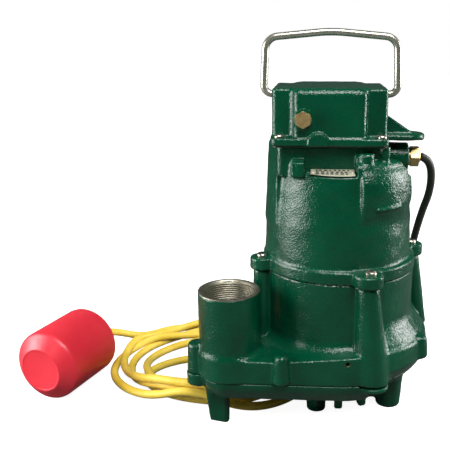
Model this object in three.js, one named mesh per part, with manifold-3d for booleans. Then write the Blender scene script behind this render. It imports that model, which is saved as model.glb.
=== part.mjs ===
// Submersible sump pump with a cast-iron body, a wire bail handle and a tethered float switch.
// Millimetres, +Z up. The pump axis is modelled at X = 0, Y = 0 and the floor at Z = 0,
// with the front at -Y; the whole group is shifted at the end, so that the origin is the middle of the rigid
// object's footprint.
import * as THREE from 'three';
import { mergeVertices } from 'three/addons/utils/BufferGeometryUtils.js';
import Module from 'manifold-3d';

const wasm = await Module();
wasm.setup();

// ---------- driving dimensions ----------
const GAP = 0.3; // left between pieces that touch
const DEG = Math.PI / 180;

// heights above the floor
const BASE_UNDERSIDE = 34;
const BASE_JOINT = 55;
const LEDGE = 79; // roof of the discharge passage at the discharge
const LEDGE_HIGH = 84.5; // and beside the front column
const BOWL_TOP = 104; // where the volute's round roof meets the upright wall, right and back
const BODY_TOP = 151.4;
const FLANGE_BOTTOM = 152;
const FLANGE_TOP = 164;
const GLAND_SHELF = 249; // lower shoulder beside the cord entry
const PLATE_SHELF = 253;
const HOUSING_TOP = 264;
const NECK_TOP = 277.6;
const CAP_BOTTOM = 279;
const CAP_FLANGE_TOP = 286;
const CAP_SHOULDER = 329.8;
const CAP_TOP = 331.5;

// radii about the pump axis
const VOLUTE_RADIUS = 92;
const WALL_RADIUS = 76.3; // upright wall of the pump body
const FLANGE_RADIUS = 77.3;
// the housing's barrel narrows upward and stands a little off the axis
const BARREL = { x: -1.9, low: 74, middle: 72.6, high: 68 };
const LEFT_WALL_RADIUS = 72.2;
const BULGE_RADIUS = 75.1;
const MOTOR_BORE_RADIUS = 66;
const LUG_CIRCLE = 82.2; // screws that hold the housing to the pump body
const LUG_ANGLES = [-70.3, 19.7, 109.7, 199.7]; // clockwise seen from above, from the front
const FRONT_LUG = 1; // the wide one

// discharge, a 1-1/2 inch pipe thread
const DISCHARGE = { x: -107, y: -62, top: 140.6, outer: 30.2, bore: 24.1, throat: 21 };

// cap over the switch chamber
const CAP = {
  x: -12.7, front: -54, back: 54.7, width: 107.8, panel: 67.2, post: 14, rearPost: 13, wall: 5.5,
};
const HANDLE = {
  x: -11.7, y: 10, z: 321.6, wire: 3.55, reach: 66.4, shoulder: 63.8, ends: 375.5, peak: 381.5,
};
const PIVOT_BORE = 4.4;
const CAP_SCREWS = [[-59.5, -47.5], [35.5, -47.5], [-59.5, 48], [35.5, 48]];
const EAR = { y: 2, tip: 81.5, half: 17, bottom: 278.5, top: 284.5 };
const GLAND = { y: 8, z: 260.5, boss: 14, bossEnd: 67, nutLength: 10.2 };

// shaft line
const SHAFT_RADIUS = 8;
const STACK = { bottom: 172, top: 222, rotor: 32, bore: 32.6 };

// cords and float
const POWER_CORD = 8; // diameter
const SWITCH_CORD = 8.8; // diameter
const SWITCH_COIL = { x: -140, y: 51, outer: [124, 106.5], holeX: -115, hole: [68, 58], height: 20 };
const POWER_COIL = { x: 42, y: 158, inner: 28, outer: 55, height: 25 };
const FLOAT = { nose: [-311, -44], length: 84, radius: 38, heading: 72.5 };
const PLUG = { x: -4, y: 243, z: 17.5 }; // middle of the piggyback plug

// ---------- solids ----------
function solid(geometry) {
  let bare = geometry.index ? geometry.toNonIndexed() : geometry.clone();
  for (const name of Object.keys(bare.attributes)) {
    if (name !== 'position') bare.deleteAttribute(name);
  }
  bare = mergeVertices(bare, 1e-4);
  const triVerts = new Uint32Array(bare.index.array);
  return new wasm.Manifold(new wasm.Mesh({
    numProp: 3,
    vertProperties: new Float32Array(bare.attributes.position.array),
    triVerts,
  }));
}

function geometryOf(shape) {
  const mesh = shape.getMesh();
  const geometry = new THREE.BufferGeometry();
  geometry.setAttribute('position', new THREE.BufferAttribute(new Float32Array(mesh.vertProperties), 3));
  geometry.setIndex(new THREE.BufferAttribute(new Uint32Array(mesh.triVerts), 1));
  geometry.computeVertexNormals();
  return geometry;
}

const joined = (...shapes) => shapes.reduce((whole, next) => whole.add(next));
const cut = (whole, ...tools) => tools.reduce((rest, tool) => rest.subtract(tool), whole);

/** Upright cylinder or cone between two heights. */
function post(bottom, top, radius, { x = 0, y = 0, topRadius = radius, sides = 24 } = {}) {
  const geometry = new THREE.CylinderGeometry(topRadius, radius, top - bottom, sides);
  geometry.rotateX(Math.PI / 2).translate(x, y, (bottom + top) / 2);
  return solid(geometry);
}

/** Upright oval cylinder or cone; radii are along X and Y. */
function ellipticPost(bottom, top, { x, y }, [rx, ry], [topRx, topRy] = [rx, ry]) {
  const geometry = new THREE.CylinderGeometry(1, 1, top - bottom, 36);
  geometry.rotateX(Math.PI / 2).translate(0, 0, (bottom + top) / 2);
  const position = geometry.attributes.position;
  for (let i = 0; i < position.count; i += 1) {
    const high = position.getZ(i) > (bottom + top) / 2;
    position.setX(i, x + position.getX(i) * (high ? topRx : rx));
    position.setY(i, y + position.getY(i) * (high ? topRy : ry));
  }
  return solid(geometry);
}

/** Cylinder lying along X or Y, centred on a point. */
function bar(axis, length, radius, [x, y, z], sides = 18) {
  const geometry = new THREE.CylinderGeometry(radius, radius, length, sides);
  if (axis === 'x') geometry.rotateZ(-Math.PI / 2);
  return solid(geometry.translate(x, y, z));
}

function block(x0, x1, y0, y1, z0, z1) {
  const geometry = new THREE.BoxGeometry(x1 - x0, y1 - y0, z1 - z0);
  return solid(geometry.translate((x0 + x1) / 2, (y0 + y1) / 2, (z0 + z1) / 2));
}

/** Solid of revolution about Z; points are [radius, height], closed on themselves, listed so that the
    outside lies to the right when walking up. */
function turned(points, sides = 32, { x = 0, y = 0 } = {}) {
  const profile = points.map(([radius, height]) => new THREE.Vector2(radius, height));
  profile.push(profile[0].clone());
  const geometry = new THREE.LatheGeometry(profile, sides);
  return solid(geometry.rotateX(Math.PI / 2).translate(x, y, 0));
}

function extruded(shape, bottom, top, curveSegments = 4) {
  const depth = top - bottom;
  const geometry = new THREE.ExtrudeGeometry(shape, { depth, bevelEnabled: false, curveSegments });
  return solid(geometry.translate(0, 0, bottom));
}

/** Rectangle with round corners. */
function roundedRectangle(x0, x1, y0, y1, radius) {
  const shape = new THREE.Shape();
  shape.moveTo(x0 + radius, y0);
  shape.lineTo(x1 - radius, y0);
  shape.absarc(x1 - radius, y0 + radius, radius, -Math.PI / 2, 0);
  shape.lineTo(x1, y1 - radius);
  shape.absarc(x1 - radius, y1 - radius, radius, 0, Math.PI / 2);
  shape.lineTo(x0 + radius, y1);
  shape.absarc(x0 + radius, y1 - radius, radius, Math.PI / 2, Math.PI);
  shape.lineTo(x0, y0 + radius);
  shape.absarc(x0 + radius, y0 + radius, radius, Math.PI, 1.5 * Math.PI);
  return shape;
}

/** Snail outline: a circle about the pump axis and the discharge circle, joined by their outer tangents. */
function snailOutline(radius, dischargeRadius, segments = 28) {
  const distance = Math.hypot(DISCHARGE.x, DISCHARGE.y);
  const towards = Math.atan2(DISCHARGE.y, DISCHARGE.x);
  const spread = Math.acos((radius - dischargeRadius) / distance);
  const shape = new THREE.Shape();
  for (let i = 0; i <= segments; i += 1) {
    const angle = towards + spread + (i / segments) * (2 * Math.PI - 2 * spread);
    shape[i ? 'lineTo' : 'moveTo'](radius * Math.cos(angle), radius * Math.sin(angle));
  }
  const few = segments / 4;
  for (let i = 0; i <= few; i += 1) {
    const angle = towards - spread + (i / few) * 2 * spread;
    shape.lineTo(
      DISCHARGE.x + dischargeRadius * Math.cos(angle),
      DISCHARGE.y + dischargeRadius * Math.sin(angle),
    );
  }
  return shape;
}

/** Skirt that narrows the snail outline downward, as the cast base does. */
function taperedSnail(bottom, top, bottomInset, topInset) {
  const steps = 2;
  const layers = [];
  for (let i = 0; i < steps; i += 1) {
    const low = bottom + ((top - bottom) * i) / steps;
    const high = bottom + ((top - bottom) * (i + 1)) / steps;
    const share = 1 - Math.sin(((i + 0.5) / steps) * (Math.PI / 2));
    const inset = topInset + (bottomInset - topInset) * share;
    const outline = snailOutline(VOLUTE_RADIUS - inset, DISCHARGE.outer - inset);
    layers.push(extruded(outline, low - (i ? 0.01 : 0), high));
  }
  return joined(...layers);
}

const onCircle = (radius, degrees) => [radius * Math.sin(degrees * DEG), -radius * Math.cos(degrees * DEG)];

/** Part of a ring between two clockwise angles from the front. */
function ringSector(inner, outer, bottom, top, from, to, steps = 7) {
  const shape = new THREE.Shape();
  for (let i = 0; i <= steps; i += 1) {
    const [x, y] = onCircle(outer, from + ((to - from) * i) / steps);
    shape[i ? 'lineTo' : 'moveTo'](x, y);
  }
  for (let i = steps; i >= 0; i -= 1) {
    shape.lineTo(...onCircle(inner, from + ((to - from) * i) / steps));
  }
  return extruded(shape, bottom, top);
}

/** Column with a round top and a wider round foot that need not stand under it. */
function leaningColumn(bottom, top, foot, head) {
  const sides = 14;
  const geometry = new THREE.CylinderGeometry(1, 1, 1, sides);
  geometry.rotateX(Math.PI / 2);
  const position = geometry.attributes.position;
  for (let i = 0; i < position.count; i += 1) {
    const end = position.getZ(i) > 0 ? head : foot;
    const height = position.getZ(i) > 0 ? top : bottom;
    position.setXYZ(i, end.x + position.getX(i) * end.r, end.y + position.getY(i) * end.r, height);
  }
  return solid(geometry);
}

/** Straight runs through the given points with each corner rounded. */
function filletedPath(points, radii) {
  const path = new THREE.CurvePath();
  let start = points[0];
  for (let i = 1; i < points.length - 1; i += 1) {
    const corner = points[i];
    const back = points[i - 1].clone().sub(corner).normalize().multiplyScalar(radii[i - 1]).add(corner);
    const on = points[i + 1].clone().sub(corner).normalize().multiplyScalar(radii[i - 1]).add(corner);
    path.add(new THREE.LineCurve3(start, back));
    path.add(new THREE.QuadraticBezierCurve3(back, corner, on));
    start = on;
  }
  path.add(new THREE.LineCurve3(start, points[points.length - 1]));
  return path;
}

function tube(path, radius, sides, steps) {
  const section = new THREE.Shape();
  for (let i = 0; i < sides; i += 1) {
    const angle = (2 * Math.PI * i) / sides;
    section[i ? 'lineTo' : 'moveTo'](radius * Math.cos(angle), radius * Math.sin(angle));
  }
  return new THREE.ExtrudeGeometry(section, { extrudePath: path, steps, bevelEnabled: false });
}

function cordTube(points, diameter, sides = 8) {
  const path = new THREE.CatmullRomCurve3(points.map((p) => new THREE.Vector3(...p)), false, 'centripetal');
  const steps = Math.ceil(path.getLength() / (2.2 * diameter));
  return tube(path, diameter / 2, sides, steps);
}

function hexagon(axis, flats, length, at) {
  return bar(axis, length, flats / Math.sqrt(3), at, 6);
}

/** Pan-head machine screw, head up, seated at a height. */
function panScrew(x, y, seat, shankRadius, length) {
  const head = 1.85 * shankRadius;
  const rise = 1.2 * shankRadius;
  return turned([
    [0, seat - length], [shankRadius, seat - length], [shankRadius, seat], [head, seat],
    [head, seat + rise * 0.5], [head * 0.7, seat + rise], [0, seat + rise],
  ], 10, { x, y });
}

// ---------- pump body and base ----------
const lugCentres = LUG_ANGLES.map((angle) => onCircle(LUG_CIRCLE, angle));

// columns under the lugs: the front and right ones lean out towards the floor
const columnFeet = [
  { bottom: 70, r: 8.5, out: 0, along: 0 },
  { bottom: 53, r: 15, out: 2, along: 6 },
  { bottom: 70, r: 8.5, out: 15, along: 2 },
  { bottom: 60, r: 11, out: 4, along: 0 },
];
function lugColumns(grow = 0) {
  return joined(...columnFeet.map(({ bottom, r, out, along }, i) => {
    const [x, y] = lugCentres[i];
    const [ux, uy] = onCircle(1, LUG_ANGLES[i]);
    const foot = { x: x + out * ux - along * uy, y: y + out * uy + along * ux, r: r + grow };
    const column = leaningColumn(bottom - grow, BODY_TOP, foot, { x, y, r: 9 + grow });
    return i === FRONT_LUG ? column.add(column.translate([-3.5, 0, 0])) : column;
  }));
}

// half-cone bosses on the snail wall; the front one and the right one are blind
const BOSS_RADIUS = 9;
const bosses = [
  { x: -54.5, y: -91.5, bottom: 57, top: 84 },
  { x: -138.5, y: -64, bottom: BASE_JOINT, top: 83, radius: 11 },
  { x: 82, y: -40, bottom: 64, top: 88 },
  { x: 20, y: 92, bottom: BASE_JOINT, top: 84 },
  { x: 66, y: 65, bottom: BASE_JOINT, top: 84 },
];
function bossSolid({ x, y, bottom, top, radius = BOSS_RADIUS }) {
  return joined(
    post(bottom + GAP, top - 5, radius, { x, y, topRadius: radius - 1, sides: 12 }),
    post(top - 5.01, top, radius - 1, { x, y, topRadius: radius - 5, sides: 12 }),
  );
}

// screws that hold the base plate go up through its ears, three into bosses and one into the front column
const EAR_BOTTOM = 48;
const baseScrews = [
  { x: -138.5, y: -64, low: 42, top: 75, ear: 11 },
  { x: 66, y: 65, top: 76, ear: 8 },
  { x: 20, y: 92, top: 76, ear: 8 },
  { x: 34, y: -77.3, top: 75, ear: 14.5 },
];

/** Everything over the passage roof, which climbs from the discharge to the front column. */
function aboveLedge() {
  const shape = new THREE.Shape();
  shape.moveTo(-200, LEDGE);
  shape.lineTo(-55, LEDGE);
  shape.lineTo(10, LEDGE_HIGH);
  shape.lineTo(10, LEDGE_HIGH + 20);
  shape.lineTo(-200, LEDGE_HIGH + 20);
  const geometry = new THREE.ExtrudeGeometry(shape, { depth: 300, bevelEnabled: false });
  return solid(geometry.rotateX(Math.PI / 2).translate(0, 150, 0));
}

/** The volute's underside rounds in towards the joint, on the right and at the back. */
function roundedIn(shape, low, lowRadius, high) {
  const waste = turned([[lowRadius, low], [130, low], [130, high], [VOLUTE_RADIUS + 1.2, high]], 40);
  return cut(shape, waste.intersect(ringSector(60, 125, low - 1, high + 1, 28, 250, 24)));
}

function pumpBody() {
  const snail = cut(
    extruded(snailOutline(VOLUTE_RADIUS, DISCHARGE.outer), BASE_JOINT + GAP, LEDGE_HIGH), aboveLedge(),
  );
  const tower = turned([
    [0, BASE_JOINT + GAP], [VOLUTE_RADIUS, BASE_JOINT + GAP], [VOLUTE_RADIUS + 1, 66],
    [VOLUTE_RADIUS, LEDGE - 3], [WALL_RADIUS, LEDGE - 3], [WALL_RADIUS, BODY_TOP], [0, BODY_TOP],
  ]);
  const bowl = turned([
    [70, LEDGE - 8], [VOLUTE_RADIUS + 0.3, LEDGE - 8], [VOLUTE_RADIUS, LEDGE - 3], [VOLUTE_RADIUS - 5, 90],
    [WALL_RADIUS + 4, 99], [WALL_RADIUS - 1, BOWL_TOP], [70, BOWL_TOP],
  ]).intersect(ringSector(60, 120, LEDGE - 9, BOWL_TOP + 1, 22, 255, 24));
  const outlet = post(BASE_JOINT + GAP, DISCHARGE.top, DISCHARGE.outer, { ...DISCHARGE, sides: 32 });
  const volute = roundedIn(joined(snail, tower, bowl), BASE_JOINT, 88, 64);
  const outside = joined(volute, outlet, ...bosses.map(bossSolid), lugColumns());
  const chamber = turned([
    [0, BASE_JOINT - 1], [80, BASE_JOINT - 1], [80, 70], [70, 77], [66, 92], [0, 92],
  ]);
  const passage = block(DISCHARGE.x + 4, -10, -84, -48, BASE_JOINT - 1, 72)
    .add(post(BASE_JOINT - 1, 72, 18, { x: DISCHARGE.x, y: DISCHARGE.y }));
  const bore = joined(
    post(BASE_JOINT - 1, 100, DISCHARGE.throat, { x: DISCHARGE.x, y: DISCHARGE.y, sides: 24 }),
    post(99.9, DISCHARGE.top + 1, DISCHARGE.bore, { x: DISCHARGE.x, y: DISCHARGE.y, sides: 32 }),
    post(DISCHARGE.top - 1.8, DISCHARGE.top + 1.2, DISCHARGE.bore, {
      x: DISCHARGE.x, y: DISCHARGE.y, topRadius: DISCHARGE.bore + 3, sides: 32,
    }),
  );
  const motorWell = turned([
    [27, 122], [62, 122], [62, BODY_TOP + 1], [0, BODY_TOP + 1], [0, 134], [27, 134],
  ]);
  const bearingSeat = post(122, 135, 20.4);
  const sealBore = post(90, 123, 16.4);
  const screwHoles = joined(
    ...lugCentres.map(([x, y]) => post(78, BODY_TOP + 1, 3.3, { x, y, sides: 8 })),
    ...baseScrews.map(({ x, y, top }) => post(BASE_UNDERSIDE, top, 3, { x, y, sides: 8 })),
  );
  const weepHole = bar('y', 20, 1.7, [8, -86, 78.5], 8);
  const ringGroove = turned([
    [70, BODY_TOP - 3.2], [73.6, BODY_TOP - 3.2], [73.6, BODY_TOP + 1], [70, BODY_TOP + 1],
  ]);
  const drilled = cut(outside, screwHoles, weepHole, ringGroove);
  return cut(drilled, chamber, passage, bore, motorWell, bearingSeat, sealBore);
}

const feet = [
  { outline: roundedRectangle(-129.5, -110, -71, -58.6, 4) }, // under the discharge
  { x: -21, y: -36, r: 9.5 },
  { x: 55, y: -20, r: 13.5 },
  { x: 15, y: 64, r: 10.5 },
];
function footSolid({ outline, x, y, r }) {
  return outline ? extruded(outline, 0, BASE_UNDERSIDE + 5) : post(0, BASE_UNDERSIDE + 5, r, {
    x, y, topRadius: r + 2, sides: 14,
  });
}

const STRAINER = { inner: 42, outer: 51, bottom: 8, arches: 12, archRadius: 8.6, crown: 19 };
function basePlate() {
  const skirt = roundedIn(
    taperedSnail(BASE_UNDERSIDE, BASE_JOINT, 10, 1), BASE_UNDERSIDE - 1, 72.5, BASE_JOINT + 5,
  );
  const { inner, outer, bottom, arches, archRadius, crown } = STRAINER;
  const middle = (inner + outer) / 2;
  const strainerRing = turned([
    [inner, bottom], [outer, bottom], [outer + 2, BASE_UNDERSIDE + 3], [inner, BASE_UNDERSIDE + 3],
  ]);
  const archCuts = [];
  for (let i = 0; i < arches; i += 1) {
    const angle = (360 / arches) * i - 13;
    const [x, y] = onCircle(middle, angle);
    const opening = joined(
      bar('y', 3 * (outer - inner), archRadius, [0, 0, crown], 12),
      block(-archRadius, archRadius, -1.5 * (outer - inner), 1.5 * (outer - inner), -5, crown),
    ).rotate([0, 0, angle]).translate([x, y, 0]);
    archCuts.push(opening);
  }
  const aroundCoil = SWITCH_COIL.outer.map((radius) => radius + 4);
  const roomForCoil = ellipticPost(0, SWITCH_COIL.height + 4, SWITCH_COIL, aroundCoil);
  const strainer = cut(strainerRing, ...archCuts, roomForCoil);
  const whole = joined(skirt, strainer, ...feet.map(footSolid));
  const inlet = post(BASE_UNDERSIDE - 1, BASE_JOINT + 1, 26, { topRadius: 24 });
  const screwHoles = joined(...baseScrews.map(({ x, y }) => (
    post(BASE_UNDERSIDE - 1, BASE_JOINT + 1, 3.3, { x, y, sides: 8 }))));
  const spotFaces = joined(...baseScrews.map(({ x, y, low = EAR_BOTTOM }) => (
    post(BASE_UNDERSIDE - 1, low, 6.4, { x, y, sides: 12 }))));
  const ears = joined(...baseScrews.map(({ x, y, ear, low = EAR_BOTTOM }) => (
    post(low, BASE_JOINT, ear, { x, y, sides: 14 }))));
  return cut(whole.add(ears), inlet, screwHoles, spotFaces, lugColumns(0.5));
}

// ---------- motor housing ----------
function motorHousing() {
  const flange = turned([
    [0, FLANGE_BOTTOM], [FLANGE_RADIUS, FLANGE_BOTTOM], [FLANGE_RADIUS, FLANGE_TOP - 1],
    [FLANGE_RADIUS - 1, FLANGE_TOP], [0, FLANGE_TOP],
  ]);
  const barrel = turned([
    [0, FLANGE_BOTTOM + 1], [BARREL.low, FLANGE_BOTTOM + 1], [BARREL.low, 170], [BARREL.middle, 204],
    [BARREL.high, 250], [BARREL.high - 1, 258], [BARREL.high - 3.5, HOUSING_TOP], [0, HOUSING_TOP],
  ], 32, { x: BARREL.x });
  const lugs = joined(...lugCentres.map(([x, y], i) => {
    const lug = post(FLANGE_BOTTOM, FLANGE_TOP, 12.4, { x, y, topRadius: 12, sides: 16 });
    return i === FRONT_LUG ? lug.add(lug.translate([-3.5, 0, 0])) : lug;
  }));
  const leftWall = ringSector(60, LEFT_WALL_RADIUS, 200, NECK_TOP, -132, -58);
  const bulgeOuter = BULGE_RADIUS;
  const bulge = turned([
    [60, 219], [bulgeOuter - 2, 217], [bulgeOuter, 222], [bulgeOuter - 0.6, 243], [bulgeOuter - 4, 256],
    [bulgeOuter - 12, HOUSING_TOP + 1], [60, HOUSING_TOP + 1],
  ]).intersect(ringSector(50, 90, 215, 270, 14.5, 64));
  const neck = extruded(roundedRectangle(-62, 38, -46.5, 50, 6), PLATE_SHELF - 4, NECK_TOP);
  const pocketLug = block(-47, -35, -65, -40, PLATE_SHELF - 2, 265.5);
  const rightLug = post(HOUSING_TOP - 2, 273, 7.6, { x: 21.5, y: -54, sides: 14 });
  const cornerPost = post(HOUSING_TOP - 2, NECK_TOP, 5, { x: 39, y: -44, sides: 12 });
  const cordBoss = bar('x', GLAND.bossEnd - 30, GLAND.boss, [(GLAND.bossEnd + 30) / 2, GLAND.y, GLAND.z]);
  const outside = joined(flange, barrel, lugs, leftWall, bulge);
  const shelfCut = block(-47.5, 13.5, -80, -40, PLATE_SHELF, HOUSING_TOP + 20);
  const glandCut = block(41, 90, -34, 70, GLAND_SHELF, HOUSING_TOP + 20);
  const frontCut = block(-47.5, 13.5, -80, -46.5, PLATE_SHELF, NECK_TOP + 10);
  const crown = joined(neck, rightLug, cornerPost, cordBoss);
  const motorBore = turned([
    [0, FLANGE_BOTTOM - 1], [MOTOR_BORE_RADIUS, FLANGE_BOTTOM - 1], [MOTOR_BORE_RADIUS, 224], [63, 231],
    [60, 246],
    [25, 246], [24, 233], [18.3, 233], [18.3, 245.5], [0, 245.5],
  ]);
  const neckWell = extruded(roundedRectangle(-55, 32, -39.5, 43, 4), PLATE_SHELF + 1, NECK_TOP + 1);
  const wireHole = post(240, PLATE_SHELF + 2, 7, { x: -35, y: 12, sides: 16 });
  const cordBore = bar('x', 60, 6.4, [GLAND.bossEnd - 20, GLAND.y, GLAND.z], 12);
  const screwHoles = joined(...lugCentres.map(([x, y]) => (
    post(FLANGE_BOTTOM - 1, FLANGE_TOP + 1, 3.3, { x, y, sides: 8 }))));
  const casting = joined(cut(outside, shelfCut, glandCut), crown.subtract(frontCut), pocketLug);
  return cut(casting, motorBore, neckWell, wireHole, cordBore, screwHoles);
}

// ---------- cap, gasket and their hardware ----------
const capLeft = CAP.x - CAP.width / 2;
const capRight = CAP.x + CAP.width / 2;
/** Cross-shaped plan of the cap: deep notches beside the front panel, shallow ones at the back. */
function capOutline(inset, cornerInset) {
  const [x0, x1] = [capLeft + inset, capRight - inset];
  const [y0, y1] = [CAP.front + inset, CAP.back - inset];
  const [left, right] = [CAP.x - CAP.panel / 2 + inset, CAP.x + CAP.panel / 2 - inset];
  const front = CAP.front + CAP.post + cornerInset;
  const rear = CAP.back - CAP.rearPost - cornerInset;
  const shape = new THREE.Shape();
  const corners = [
    [left, y0], [right, y0], [right, front], [x1, front], [x1, rear], [right, rear], [right, y1], [left, y1],
    [left, rear], [x0, rear], [x0, front], [left, front],
  ];
  corners.forEach(([x, y], i) => shape[i ? 'lineTo' : 'moveTo'](x, y));
  return shape;
}

function capCover() {
  const plateOutline = roundedRectangle(capLeft - 1, capRight + 1, CAP.front - 1.5, CAP.back + 1, 7);
  const plate = extruded(plateOutline, CAP_BOTTOM, CAP_FLANGE_TOP);
  const walls = extruded(capOutline(0, 0), CAP_BOTTOM, CAP_TOP);
  const slope = (CAP_TOP - CAP_SHOULDER) / ((CAP.width - CAP.panel) / 2);
  const wedge = (side) => {
    const outer = CAP.x + side * (CAP.width / 2 + 2);
    const inner = CAP.x + side * (CAP.panel / 2);
    const shape = new THREE.Shape();
    shape.moveTo(inner, CAP_TOP);
    shape.lineTo(outer, CAP_TOP - slope * Math.abs(outer - inner));
    shape.lineTo(outer, CAP_TOP + 5);
    shape.lineTo(inner, CAP_TOP + 5);
    const geometry = new THREE.ExtrudeGeometry(shape, { depth: 140, bevelEnabled: false });
    return solid(geometry.rotateX(Math.PI / 2).translate(0, 70, 0));
  };
  const dome = bar('y', 8, 9.5, [-23, CAP.front + 0.6, CAP_BOTTOM + 3], 20)
    .intersect(block(-40, 0, -70, 0, CAP_BOTTOM, 300));
  const earPlate = joined(
    block(30, EAR.tip - EAR.half, EAR.y - EAR.half, EAR.y + EAR.half, EAR.bottom, EAR.top),
    post(EAR.bottom, EAR.top, EAR.half, { x: EAR.tip - EAR.half, y: EAR.y, sides: 20 }),
  ).subtract(block(20, 90, -40, 40, 0, CAP_BOTTOM));
  const gussetShape = new THREE.Shape();
  gussetShape.moveTo(capRight - 8, EAR.top - 1);
  gussetShape.lineTo(72, EAR.top - 1);
  gussetShape.lineTo(capRight - 0.5, 302);
  gussetShape.lineTo(capRight - 8, 302);
  const gussetGeometry = new THREE.ExtrudeGeometry(gussetShape, { depth: 8, bevelEnabled: false });
  const gusset = solid(gussetGeometry.rotateX(Math.PI / 2).translate(0, EAR.y - 6, 0));
  const plugBoss = bar('y', 6, 9, [-37, CAP.front + 2.8, 303.7], 16);
  const outside = joined(cut(walls, wedge(-1), wedge(1)), plate, dome, earPlate, gusset, plugBoss);
  const room = extruded(capOutline(CAP.wall, CAP.wall), CAP_BOTTOM - 1, CAP_SHOULDER - CAP.wall - 6);
  const upperRoom = extruded(
    roundedRectangle(CAP.x - 28, CAP.x + 28, CAP.front + CAP.wall, CAP.back - CAP.wall, 4),
    CAP_BOTTOM, CAP_TOP - CAP.wall,
  );
  const pivots = bar('x', CAP.width + 20, PIVOT_BORE, [CAP.x, HANDLE.y, HANDLE.z], 14)
    .subtract(block(capLeft + 9, capRight - 9, 0, 30, 300, 340));
  const screwHoles = joined(...CAP_SCREWS.map(([x, y]) => (
    post(CAP_BOTTOM - 1, CAP_FLANGE_TOP + 1, 2.9, { x, y, sides: 8 }))));
  const plugHole = bar('y', 20, 4.6, [-37, CAP.front, 303.7], 12);
  return cut(outside, room, upperRoom, pivots, screwHoles, plugHole);
}

function capGasket() {
  const outer = roundedRectangle(capLeft + 0.5, capRight - 0.5, CAP.front, CAP.back - 0.5, 6);
  const sheet = extruded(outer, NECK_TOP + GAP, CAP_BOTTOM - GAP);
  const window = extruded(roundedRectangle(-54, 31, -38.5, 42, 4), NECK_TOP, CAP_BOTTOM);
  const screwHoles = joined(...CAP_SCREWS.map(([x, y]) => (
    post(NECK_TOP, CAP_BOTTOM, 2.9, { x, y, sides: 8 }))));
  return cut(sheet, window, screwHoles);
}

function handlePath() {
  const at = (x, z) => new THREE.Vector3(HANDLE.x + x, HANDLE.y, z);
  const { reach, shoulder, ends, peak, z } = HANDLE;
  const inside = CAP.width / 2 - 7;
  return filletedPath([
    at(-inside, z), at(-reach, z), at(-shoulder, ends), at(0, peak), at(shoulder, ends), at(reach, z),
    at(inside, z),
  ], [8.5, 15, 20, 15, 8.5]);
}

// ---------- motor and shaft line ----------
const ring = (inner, outer, bottom, top, sides = 24) => (
  turned([[inner, bottom], [outer, bottom], [outer, top], [inner, top]], sides));

function winding(bottom, top) {
  return turned([
    [38, bottom], [60, bottom], [62, (bottom + top) / 2], [57, top], [43, top], [38, (bottom + top) / 2],
  ], 28);
}

function statorCore() {
  const slots = 18;
  const cuts = [];
  for (let i = 0; i < slots; i += 1) {
    const slot = block(-1.6, 1.6, STACK.bore - 1, STACK.bore + 5.5, STACK.bottom - 1, STACK.top + 1);
    cuts.push(slot.rotate([0, 0, (360 / slots) * i]));
  }
  return cut(ring(STACK.bore, MOTOR_BORE_RADIUS - 0.4, STACK.bottom, STACK.top, 32), ...cuts);
}

const IMPELLER = { bottom: 59, deck: 80, top: 84, radius: 58, hub: 13, blades: 6 };
function impeller() {
  const { bottom, deck, top, radius, hub, blades } = IMPELLER;
  const body = turned([
    [0, bottom], [hub, bottom], [hub + 3, deck], [radius, deck], [radius, top], [hub, top + 4], [0, top + 4],
  ], 28);
  const vanes = [];
  for (let i = 0; i < blades; i += 1) {
    const shape = new THREE.Shape();
    shape.absarc(26, 0, 24, Math.PI, 1.72 * Math.PI, false);
    shape.absarc(26, 0, 20.5, 1.72 * Math.PI, Math.PI, true);
    vanes.push(extruded(shape, bottom, deck + 1, 5).translate([8, 4, 0]).rotate([0, 0, (360 / blades) * i]));
  }
  const hold = post(bottom - 1, top, radius - 0.5, { sides: 28 });
  const bore = post(bottom - 1, top + 5, SHAFT_RADIUS + GAP, { sides: 16 });
  return body.add(joined(...vanes).intersect(hold)).subtract(bore);
}

// ---------- float and plugs ----------
/** Places a solid made standing on Z = 0 so that its length runs along the float's axis. */
function alongFloat(shape) {
  return shape.rotate([0, 90, 0]).rotate([0, 0, FLOAT.heading]).translate([...FLOAT.nose, FLOAT.radius]);
}

function floatShell() {
  const { radius, length } = FLOAT;
  const wall = 3;
  return turned([
    [0, 0], [22.6, 0], [24, 0.9], [radius - 1.8, 10], [radius, 13], [radius, length - 3],
    [radius - 3, length], [9, length], [9, length - wall], [radius - wall - 3, length - wall],
    [radius - wall, length - 6], [radius - wall, 14], [22, 4], [0, 4],
  ], 24);
}

const floatGrommet = () => turned([
  [SWITCH_CORD / 2 + GAP, FLOAT.length - 8], [8.7, FLOAT.length - 8], [8.7, FLOAT.length + 1],
  [7.4, FLOAT.length + 5], [SWITCH_CORD / 2 + GAP, FLOAT.length + 5],
], 16);

/** Closed switch chamber that the ball rolls in, open only where the cord's wires enter. */
function switchCapsule() {
  const chamber = turned([
    [0, 16], [13, 16], [13, 72], [0, 72], [0, 68], [10, 68], [10, 20], [0, 20],
  ], 16);
  return cut(chamber, post(66, 74, 3, { sides: 12 }));
}

const switchBall = () => solid(new THREE.SphereGeometry(9, 12, 8).translate(0, 0, 31));

function roundedBar(x0, x1, half, z0, z1, y) {
  const geometry = new THREE.ExtrudeGeometry(roundedRectangle(y - half, y + half, z0, z1, 6), {
    depth: x1 - x0, bevelEnabled: false, curveSegments: 4,
  });
  // the outline's first axis becomes Y and its second Z
  const turn = new THREE.Matrix4().set(0, 0, 1, x0, 1, 0, 0, 0, 0, 1, 0, 0, 0, 0, 0, 1);
  return solid(geometry.applyMatrix4(turn));
}

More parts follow.
